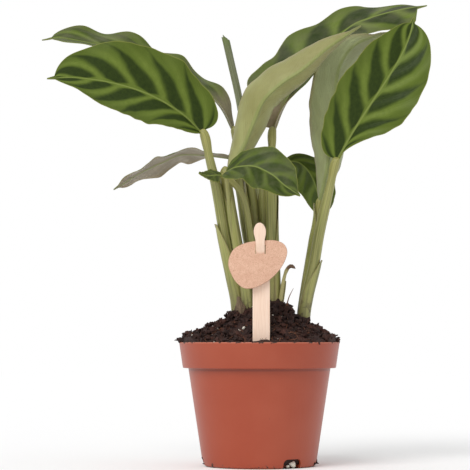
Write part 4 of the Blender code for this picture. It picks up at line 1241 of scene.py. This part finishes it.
SOIL_EDGE = 2.5
SOIL_HEAP = 24.0
SOIL_TOP = 20.0
SOIL_SLUMP = 7.0
LUMP_SIZES = (6.0, 3.0)
LUMP_HEIGHTS = (1.5, 0.75)
FINE_LUMPS = ((1.7, 0.7), (0.8, 0.4))  # size and height
CRUMB_SHAPES = 9
CRUMBS_PER_CLUMP = 9
CRUMBS_PER_RIM_CRUMB = 4
HEAP_SIDES = 150
HEAP_RINGS = 56
FIBRE_SIDES = 5
FIBRE_ROWS = 10
NOTCH_GRAINS = ((29.6, 0.05, 2.2, 2.3), (30.0, -0.06, 1.2, 1.0))  # reach, swing in radians, z and size
CLUMPS = [  # x, y and size of the larger lumps
    (14.5, -9.0, 4.8), (17.5, -11.0, 3.6), (12.5, -13.0, 2.4), (20.5, -6.0, 2.6), (-13.5, -12.5, 3.0),
    (-17.0, -8.5, 2.4), (-21.0, -14.0, 2.2), (24.0, -17.0, 2.4), (-28.0, -12.0, 2.2), (29.0, -10.0, 2.2),
    (35.0, -8.0, 2.0), (22.0, -25.0, 3.0), (31.0, -20.0, 2.6), (12.5, -31.0, 2.6), (17.0, -20.0, 2.8),
    (-19.0, -26.0, 2.6), (-30.0, -21.0, 2.4), (-11.5, -32.0, 2.2), (-9.5, -20.0, 2.8), (-35.0, -6.0, 1.8),
    (2.0, 20.0, 3.2), (-12.0, 19.0, 2.8), (15.0, 22.0, 2.8),
]
RIM_CRUMBS = [(-44.3, -6.0, 2.3), (-43.0, 2.0, 1.6), (44.6, -5.0, 2.3), (43.6, 4.0, 1.4), (12.0, 43.5, 1.1)]
FOOT_CRUMBS = [
    (31.4, -4.0, 3.0, 1.4), (32.0, -3.0, 1.5, 0.9), (30.2, -9.0, 1.5, 0.9), (-31.1, -5.0, 4.2, 1.0),
    (-30.6, -6.0, 1.5, 0.9),
]
WHITE_BITS = [(-8.9, -27.0, 1.3), (12.2, -15.0, 0.8), (20.7, -14.0, 0.8)]
UPRIGHT_RADIUS = 0.38
UPRIGHT_FIBRE = [(14.6, -9.5, 87.0), (15.4, -9.0, 90.5), (16.6, -9.5, 94.5), (18.9, -10.0, 99.0)]


def soil_height(x, y):
    """Height of the heaped soil at a place: a cone with a flattened top, sunk at the front, lumpy."""
    radius = sqrt(x * x + y * y)
    share = max(1 - radius / (RIM_RADIUS - WALL), 0.0)
    heap = SOIL_EDGE + SOIL_HEAP * share**1.2
    heap = min(heap, SOIL_TOP + (heap - SOIL_TOP) / 4)
    front = max(-y / RIM_RADIUS, 0.0)
    lumps = 0.0
    for size, height in zip(LUMP_SIZES, LUMP_HEIGHTS):
        lumps += height * noise.noise(Vector((x, y, size)) / size)
    return POT_HEIGHT + heap - SOIL_SLUMP * front**2 + lumps


def crumbly_height(x, y):
    """The heap with its fine crumbs, and hollowed on its left side."""
    share = min(sqrt(x * x + y * y) / RIM_RADIUS, 1.0)
    fine = -3.2 * eased((-x - 8) / 12) * sin(pi * share) ** 2
    for size, height in FINE_LUMPS:
        fine += height * noise.noise(Vector((x, y, size * 7)) / size)
    return soil_height(x, y) + fine


def soil_rings():
    """Rings from the middle of the heap over its edge and down inside the pot."""
    mouth = RIM_RADIUS - WALL - 0.3
    rings = [circle(0.05 + (mouth - 0.9) * share, 0.0, HEAP_SIDES) for share in even(HEAP_RINGS)]
    rings.append(circle(mouth, 0.0, HEAP_SIDES))
    for place in (place for ring in rings for place in ring):
        place.z = crumbly_height(place.x, place.y)
    for place in rings[-1]:
        place.z = min(place.z - 0.8, POT_HEIGHT - 0.7)
    shoulder = POT_HEIGHT - BAND_HEIGHT
    for radius, gap, z in (
        (BAND_FOOT_RADIUS, 0.4, shoulder + 1.0),
        (BODY_TOP_RADIUS, 0.4, shoulder - 1.0),
        (FOOT_RADIUS, 0.4, FLOOR + 1.6),
        (FOOT_RADIUS, 1.8, FLOOR + 0.2),
    ):
        rings.append(circle(radius - WALL - gap, z, HEAP_SIDES))
    return rings


def random_spot(rng, mouth):
    """A place in a disc of that radius, each part of it as likely."""
    angle = rng.uniform(0, FULL_TURN)
    radius = mouth * sqrt(rng.random())
    return radius * cos(angle), radius * sin(angle)


def drop_lump(body, rng, templates, place, size, second, third):
    """A lump turned at random. Its other two sizes are shares of the first, from the ranges given."""
    turn = Matrix.Rotation(rng.uniform(0, FULL_TURN), 3, Vector([rng.uniform(-1, 1) for _ in range(3)]))
    shape = (size, size * rng.uniform(*second), size * rng.uniform(*third))
    body.lump(rng.choice(templates), Vector(place), turn, shape, rng.random())


def add_crumbs(body, settings, rng):
    """Loose crumbs over the heap, mostly small, with some clumps and a few on the rim and at the foot."""
    templates = [rounded_template(1.3, seed) for seed in range(CRUMB_SHAPES)]
    small, large = settings.smallest / MM, settings.largest / MM

    def drop(x, y, z, size):
        drop_lump(body, rng, templates, (x, y, z), size, (0.55, 1.0), (0.45, 0.9))

    for _ in range(settings.crumbs):
        x, y = random_spot(rng, RIM_RADIUS - WALL - 1.2)
        size = small + (large - small) * rng.random() ** 5
        if abs(x) < STICK_WIDTH / 2 + 1 and y < STICK_Y:
            continue
        drop(x, y, crumbly_height(x, y) + 0.25 * size, size)
    for x, y, size in CLUMPS:
        for _ in range(CRUMBS_PER_CLUMP):
            near_x, near_y = x + rng.gauss(0, size * 0.5), y + rng.gauss(0, size * 0.5)
            z = soil_height(near_x, near_y) + rng.uniform(0.1, 0.9) * size
            drop(near_x, near_y, z, size * rng.uniform(0.25, 0.7))
    for x, y, size in RIM_CRUMBS:
        for _ in range(CRUMBS_PER_RIM_CRUMB):
            near_x, near_y = x + rng.gauss(0, 0.7), y + rng.gauss(0, 0.9)
            z = POT_HEIGHT + rng.uniform(0.1, 0.7) * size
            drop(near_x, near_y, z, size * rng.uniform(0.3, 0.8))
    for crumb in FOOT_CRUMBS:
        drop(*crumb)


def add_fibres(body, settings, rng):
    """Thin bent fibres that lie on the soil, and one that stands up."""
    routes = [[Vector(p) for p in UPRIGHT_FIBRE]]
    mouth = RIM_RADIUS - WALL - 3
    for _ in range(settings.fibres):
        x, y = random_spot(rng, mouth)
        heading = rng.uniform(0, FULL_TURN)
        step = rng.uniform(0.8, 2.6)
        route = []
        for i in range(5):
            if x * x + y * y > mouth * mouth:
                break
            arch = sin(pi * i / 4) * rng.uniform(0.2, 1.6)
            route.append(Vector((x, y, crumbly_height(x, y) + 0.2 + arch)))
            heading += rng.gauss(0, 0.7)
            x, y = x + step * cos(heading), y + step * sin(heading)
        if len(route) > 2:
            routes.append(route)
    for route in routes:
        thick = rng.uniform(0.09, 0.2) if route is not routes[0] else UPRIGHT_RADIUS
        shade = rng.random()
        shares = even(FIBRE_ROWS)
        points = points_at(route, shares)
        rings = []
        for share, place, axes in zip(shares, points, frames(points, (0.3, 0.5, 1.0))):
            turns = (FULL_TURN * k / FIBRE_SIDES for k in range(FIBRE_SIDES))
            rings.append([cell_round(place, axes, a, thick * (1 - 0.7 * share**2))[0] for a in turns])
        body.rings(rings, [[(shade,)] * FIBRE_SIDES] * len(rings))


def add_white_grains(body, settings, rng):
    """Light mineral grains, on the soil and in the drain notches."""
    templates = [rounded_template(0.5, seed) for seed in range(20, 23)]
    spots = [(x, y, crumbly_height(x, y) + 0.4, size) for x, y, size in WHITE_BITS]
    for _ in range(settings.grains):
        x, y = random_spot(rng, RIM_RADIUS - WALL - 2)
        spots.append((x, y, crumbly_height(x, y) + 0.2, rng.uniform(0.25, 0.7)))
    for index in range(NOTCH_COUNT):
        for reach, swing, z, size in NOTCH_GRAINS:
            angle = radians(notch_turn(index)) + swing
            spots.append((reach * cos(angle), reach * sin(angle), z, size))
    for *place, size in spots:
        drop_lump(body, rng, templates, place, size, (0.6, 0.9), (0.5, 0.8))


def soil_finish(name, settings, shaded):
    """Dark damp soil. Crumbs carry a shade of their own."""
    finish = Finish(name, settings.dark)
    place = finish.place()
    broad = finish.cloud(place, 120.0, 4.0, 0.65)
    fine = finish.cloud(place, 900.0, 4.0, 0.7)
    share = broad.over(0.4, 0.75) * 0.4 + fine.over(0.45, 0.75) * 0.5
    if shaded:
        share = share * 0.7 + finish.mark("shade").over(0.35, 1.3) * 0.7
    finish.coat(share, settings.light)
    return finish.done(fine * 0.3 + 0.62, fine * 0.6 + broad * 0.6, 0.0008)


def fibre_finish(settings):
    """Each fibre between dark and pale by its own shade."""
    finish = Finish("soil_fibre", srgb(62, 40, 28))
    finish.coat(finish.mark("shade"), settings.fibre)
    return finish.done(finish.cloud(finish.place(), 700.0) * 0.3 + 0.6)


def grain_finish(settings):
    """White mineral grains with pits and a little soil on them."""
    finish = Finish("white_grain", settings.grain)
    pits = finish.cloud(finish.place(), 1500.0, 4.0, 0.7)
    finish.coat(pits.over(0.55, 0.72) * 0.7, srgb(120, 98, 78))
    return finish.done(pits * 0.2 + 0.75, pits, 0.0006)


# Label

STICK_WIDTH = 9.4
STICK_THICKNESS = 0.9
STICK_X = 0.6
STICK_Y = -35.5
STICK_LEAN = 0.9  # how far its top stands to the left of its foot
LEAN_START = 99.0
STICK_FOOT = 42.0
FOOT_TAPER = 5
STICK_ROWS = 120
STICK_TOP = 134.0
NECK_WIDTH = 4.9
HEAD_WIDTH = 6.7
SHOULDER_Z = 108.0
NECK_Z = 112.0
BEND_START = 114.5
BEND_END = 123.5
BEND_STEP = 2.3
HEAD_Z = 129.0
PLATE_THICKNESS = 0.9
PLATE_LEAN = 6.0
SLOT_HEIGHT = 5.2
SLOT_CENTRE = (0.2, -36.65, 119.5)
PLATE_OUTLINE = [  # x and z seen from the front
    (-17.4, 111.0), (-16.0, 117.2), (-13.4, 120.4), (-8.7, 122.8), (-3.1, 124.0), (3.0, 124.5), (8.5, 124.4),
    (13.0, 122.4), (14.8, 118.4), (13.6, 113.4), (10.7, 108.4), (5.7, 103.2), (0.1, 99.7), (-5.4, 97.9),
    (-10.2, 98.8), (-14.6, 103.6),
]


def stick_place(z):
    """Middle of the stick at a height: it leans a little, and its neck comes forward through the plate."""
    lean = max(z - LEAN_START, 0) / (STICK_TOP - LEAN_START)
    bend = eased((z - BEND_START) / (BEND_END - BEND_START))
    return Vector((STICK_X - STICK_LEAN * lean, STICK_Y - BEND_STEP * bend, z))


def stick_half_width(z):
    """Full width up to the shoulders, then the neck, then the round head."""
    if z < STICK_FOOT + FOOT_TAPER:
        return STICK_WIDTH / 2 * (0.45 + 0.55 * (z - STICK_FOOT) / FOOT_TAPER)
    if z < NECK_Z:
        narrowing = eased((z - SHOULDER_Z) / (NECK_Z - SHOULDER_Z))
        return (STICK_WIDTH + (NECK_WIDTH - STICK_WIDTH) * narrowing) / 2
    if z < HEAD_Z:
        return (NECK_WIDTH + (HEAD_WIDTH - NECK_WIDTH) * eased((z - BEND_END) / (HEAD_Z - BEND_END))) / 2
    t = min((z - HEAD_Z) / (STICK_TOP - HEAD_Z), 1.0)
    return max(HEAD_WIDTH / 2 * sqrt(1 - t * t), 0.5)


def add_stick(body, softening):
    """A flat stick with softened edges, drawn as rings from its foot to its round head."""
    rings = []
    heights = [STICK_FOOT + (STICK_TOP - STICK_FOOT) * share for share in even(STICK_ROWS)]
    heights += [STICK_TOP - gap for gap in (0.35, 0.15, 0.05)]
    for z in sorted(set(heights)):
        middle, half = stick_place(z), stick_half_width(z)
        ring = []
        for corner_x, corner_y, start in ((1, 1, 0), (-1, 1, 90), (-1, -1, 180), (1, -1, 270)):
            for step in (0, 30, 60, 90):
                angle = radians(start + step)
                x = corner_x * (half - softening) + softening * cos(angle)
                y = corner_y * (STICK_THICKNESS / 2 - softening) + softening * sin(angle)
                ring.append(middle + Vector((x, y, 0)))
        rings.append(ring)
    body.rings(rings)


def closed_curve(points, steps):
    """Points of a smooth closed curve through the given ones, steps to each stretch."""
    wrapped = [Vector((x, 0, z)) for x, z in points]
    found = []
    for i in range(len(points)):
        four = [wrapped[(i + k) % len(points)] for k in (-1, 0, 1, 2)]
        for s in range(steps):
            found.append(curve_point(four, (1 + s / steps) / 3))
    return found


def plate_mesh(softening):
    """The thin plate with softened edges, upright at the origin, in millimetres."""
    bm = bmesh.new()
    loop = []
    for point in closed_curve(PLATE_OUTLINE, 7):
        loop.append(bm.verts.new((point.x, -PLATE_THICKNESS / 2, point.z - SLOT_CENTRE[2])))
    face = bm.faces.new(loop)
    grown = bmesh.ops.extrude_face_region(bm, geom=[face])
    moved = [v for v in grown["geom"] if isinstance(v, bmesh.types.BMVert)]
    bmesh.ops.translate(bm, vec=(0, PLATE_THICKNESS, 0), verts=moved)
    bmesh.ops.recalc_face_normals(bm, faces=bm.faces)
    outer = [e for e in bm.edges if e.calc_face_angle() > radians(60)]
    bmesh.ops.bevel(bm, geom=outer, offset=softening, segments=3, profile=0.5, affect="EDGES")
    return bm


def wood_finish(name, pale, deep, grain_scale, pores=0.1):
    """Raw wood, with grain drawn out along one axis, fine fibres and small pores."""
    finish = Finish(name, pale)
    place = finish.place()
    drawn = finish.stretched(place, grain_scale)
    grain = finish.cloud(drawn, 260.0, 4.0, 0.6, 0.4)
    fibre, specks = (finish.cloud(drawn, scale, 2.0, 0.6) for scale in (1100.0, 2200.0))
    blotch = finish.cloud(place, 70.0).over(0.4, 0.8) * 0.2
    finish.coat(grain.over(0.35, 0.7) * 0.6 + fibre.over(0.45, 0.7) * 0.3 + blotch, deep)
    finish.coat(specks.over(0.5, 0.66) * pores, srgb(170, 124, 92))
    return finish.done(fibre * 0.15 + 0.58, fibre * 0.6 + grain * 0.4, 0.00012)


# Operators

FLOOR_Z = -0.0002  # just under the pot, in metres
KEY_DIRECTION = (0.45, 0.75, -0.85)
KEY_SPREAD = 35.0
PICTURE_WIDTH = 36.0


class CALATHEA_OT_pot(bpy.types.Operator):
    """Turns the nursery pot and cuts its drain notches"""

    bl_idname = "calathea.pot"
    bl_label = "Build pot"

    def execute(self, context):
        settings = context.scene.calathea_pot
        body = Body()
        body.rings([circle(radius, z, settings.sides) for radius, z in pot_profile()])
        pot = body.build("nursery_pot", [pot_finish(settings)], sharp=30.0)
        cut_away(pot, [notch_cutter(index) for index in range(NOTCH_COUNT)])
        pot.data.set_sharp_from_angle(angle=radians(30))
        dress(pot, "pot", "pot")
        return {"FINISHED"}


class CALATHEA_OT_soil(bpy.types.Operator):
    """Heaps the potting soil, with its crumbs, fibres and white grains"""

    bl_idname = "calathea.soil"
    bl_label = "Build soil"

    def execute(self, context):
        settings = context.scene.calathea_soil
        heap = soil_finish("soil", settings, False)
        make("soil_heap", "soil", ["soil"], lambda body: body.rings(soil_rings()), [heap], sharp=180.0)
        loose = (
            ("soil_crumbs", add_crumbs, soil_finish("soil_crumb", settings, True), 60.0),
            ("soil_fibres", add_fibres, fibre_finish(settings), 40.0),
            ("white_grains", add_white_grains, grain_finish(settings), 60.0),
        )
        for index, (name, scatter, finish, sharp) in enumerate(loose):
            add = partial(scatter, settings=settings, rng=random.Random(settings.seed + index))
            make(name, "soil", [], add, [finish], ("shade",), sharp)
        return {"FINISHED"}


class CALATHEA_OT_label(bpy.types.Operator):
    """Builds the wooden stick and the bare plate that hangs on its neck"""

    bl_idname = "calathea.label"
    bl_label = "Build label"

    def execute(self, context):
        settings = context.scene.calathea_label
        softening = settings.softening / MM
        wood = wood_finish("stick_wood", settings.stick, settings.stick_grain, (1, 1, 0.05))
        add = partial(add_stick, softening=softening)
        make("wooden_stick", "label_stick", ["label_stick"], add, [wood], sharp=35.0)
        bm = plate_mesh(softening)
        for face in bm.faces:
            face.material_index = 0 if abs(face.normal.y) > 0.9 else 1
        hung = Matrix.Translation((0, *SLOT_CENTRE[1:])) @ Matrix.Rotation(-radians(PLATE_LEAN), 4, "X")
        bmesh.ops.transform(bm, matrix=Matrix.Scale(MM, 4) @ hung, verts=bm.verts)
        plate = put("wooden_plate", mesh_of(bm, "wooden_plate"))
        for finish in (
            wood_finish("plate_wood", settings.plate, settings.plate_grain, (0.9, 1, 1.3), 0.6),
            wood_finish("plate_edge", settings.cut_edge, settings.plate, (0.3, 1, 1)),
        ):
            plate.data.materials.append(finish)
        size = (NECK_WIDTH + 0.6, 4 * PLATE_THICKNESS, SLOT_HEIGHT)
        middle = Matrix.Translation((SLOT_CENTRE[0], 0, 0))
        cut_away(plate, [block_cutter("slot_cutter", size, hung @ middle)])
        plate.data.shade_smooth()
        plate.data.set_sharp_from_angle(angle=radians(35))
        dress(plate, "label_plate", "label_plate")
        return {"FINISHED"}


class CALATHEA_OT_leaves(bpy.types.Operator):
    """Builds the ten striped blades"""

    bl_idname = "calathea.leaves"
    bl_label = "Build leaves"

    def execute(self, context):
        settings = context.scene.calathea_leaves
        for leaf in LEAVES:
            look = LOOKS[leaf.name]
            top = leaf_top("leaf_top_" + leaf.name, look, settings)
            under = leaf_under("leaf_under_" + leaf.name, look, settings)
            add = Blade(leaf, look, settings).add_to
            make("leaf_" + leaf.name, "leaf", ["blade_" + leaf.name], add, [top, under], BLADE_MARKS, 50.0)
        return {"FINISHED"}


class CALATHEA_OT_stalks(bpy.types.Operator):
    """Builds the stalks with their sheaths and knees"""

    bl_idname = "calathea.stalks"
    bl_label = "Build stalks"

    def execute(self, context):
        settings = context.scene.calathea_stalks
        finishes = [stalk_finish(settings), sheath_finish(settings)]
        for leaf in LEAVES:
            add = partial(add_stalk, leaf=leaf, settings=settings)
            make("stalk_of_" + leaf.name, "stalk", ["stalk_" + leaf.name], add, finishes, STALK_MARKS)
        return {"FINISHED"}


class CALATHEA_OT_young(bpy.types.Operator):
    """Builds the rolled young leaf, the small shoot and the dry sheath"""

    bl_idname = "calathea.young"
    bl_label = "Build young growth"

    def execute(self, context):
        look = Look(stripes=4.0, lobes=(0.0, 0.0), seed=12.0)
        papery = Blade(DRY_SHEATH, look, context.scene.calathea_leaves)
        rolled = [bpy.data.materials["stalk"], rolled_finish()]
        dry = [dry_finish()] * 2
        for name, node, add, finishes, marks, sharp in (
            ("rolled_leaf", "furled_spear", add_rolled_leaf, rolled, STALK_MARKS, 40.0),
            ("shoot", "young_shoot", add_shoot, [shoot_finish()], STALK_MARKS, 40.0),
            ("dry_sheath", "dead_sheath", papery.add_to, dry, BLADE_MARKS, 50.0),
        ):
            make(name, node, [node], add, finishes, marks, sharp)
        return {"FINISHED"}


def add_light(name, kind, energy, direction, **settings):
    light = bpy.data.lights.new(name, kind)
    light.energy = energy
    for key, value in settings.items():
        setattr(light, key, value)
    put(name, light).rotation_euler = Vector(direction).to_track_quat("-Z", "Y").to_euler()


class CALATHEA_OT_stage(bpy.types.Operator):
    """Sets the floor, the soft light and the camera"""

    bl_idname = "calathea.stage"
    bl_label = "Set stage"

    def execute(self, context):
        settings = context.scene.calathea_stage
        scene = context.scene
        bm = bmesh.new()
        bmesh.ops.create_circle(bm, cap_ends=True, segments=96, radius=settings.floor_size)
        floor = put("floor", mesh_of(bm, "floor"))
        floor.location.z = FLOOR_Z
        floor.data.materials.append(Finish("floor", settings.floor, Specular_IOR_Level=0.0).done(0.9))
        world = bpy.data.worlds.new("studio")
        world.use_nodes = True
        tree = world.node_tree
        background = tree.nodes["Background"]
        path = tree.nodes.new("ShaderNodeLightPath")
        strength = tree.nodes.new("ShaderNodeMix")
        strength.inputs["A"].default_value = settings.sky
        strength.inputs["B"].default_value = 1.0
        tree.links.new(path.outputs["Is Camera Ray"], strength.inputs["Factor"])
        tree.links.new(strength.outputs[0], background.inputs["Strength"])
        background.inputs["Color"].default_value = (1.0, 1.0, 1.0, 1.0)
        scene.world = world
        add_light("key", "SUN", settings.key, KEY_DIRECTION, angle=radians(KEY_SPREAD))
        scene.view_settings.view_transform = "Standard"
        lens = bpy.data.cameras.new("camera")
        lens.lens = settings.lens
        lens.sensor_width = PICTURE_WIDTH
        camera = put("camera", lens)
        camera.location = (-settings.camera_side, -settings.camera_distance, settings.camera_height)
        aim = Vector((0, settings.camera_distance, settings.camera_aim - settings.camera_height))
        camera.rotation_euler = aim.to_track_quat("-Z", "Y").to_euler()
        scene.camera = camera
        return {"FINISHED"}


OPERATORS = (
    CALATHEA_OT_pot,
    CALATHEA_OT_soil,
    CALATHEA_OT_label,
    CALATHEA_OT_leaves,
    CALATHEA_OT_stalks,
    CALATHEA_OT_young,
    CALATHEA_OT_stage,
)


class CALATHEA_PT_panel(bpy.types.Panel):
    """Lists the plant's operators with their sizes and colours"""

    bl_idname = "CALATHEA_PT_panel"
    bl_label = "Potted Calathea"
    bl_space_type = "VIEW_3D"
    bl_region_type = "UI"
    bl_category = "Calathea"

    def draw(self, context):
        for operator in OPERATORS:
            self.layout.operator(operator.bl_idname)
        for name, group in SETTINGS.items():
            box = self.layout.box()
            box.label(text=group.__name__.replace("Settings", ""))
            for setting in group.__annotations__:
                box.prop(getattr(context.scene, name), setting)


CLASSES = (*SETTINGS.values(), *OPERATORS, CALATHEA_PT_panel)


def register():
    for cls in CLASSES:
        bpy.utils.register_class(cls)
    for name, group in SETTINGS.items():
        setattr(bpy.types.Scene, name, PointerProperty(type=group))


def unregister():
    for name in SETTINGS:
        delattr(bpy.types.Scene, name)
    for cls in reversed(CLASSES):
        bpy.utils.unregister_class(cls)


def main():
    register()
    bpy.ops.calathea.pot()
    bpy.ops.calathea.soil()
    bpy.ops.calathea.label()
    bpy.ops.calathea.leaves()
    bpy.ops.calathea.stalks()
    bpy.ops.calathea.young()
    bpy.ops.calathea.stage()


if __name__ == "__main__":
    main()
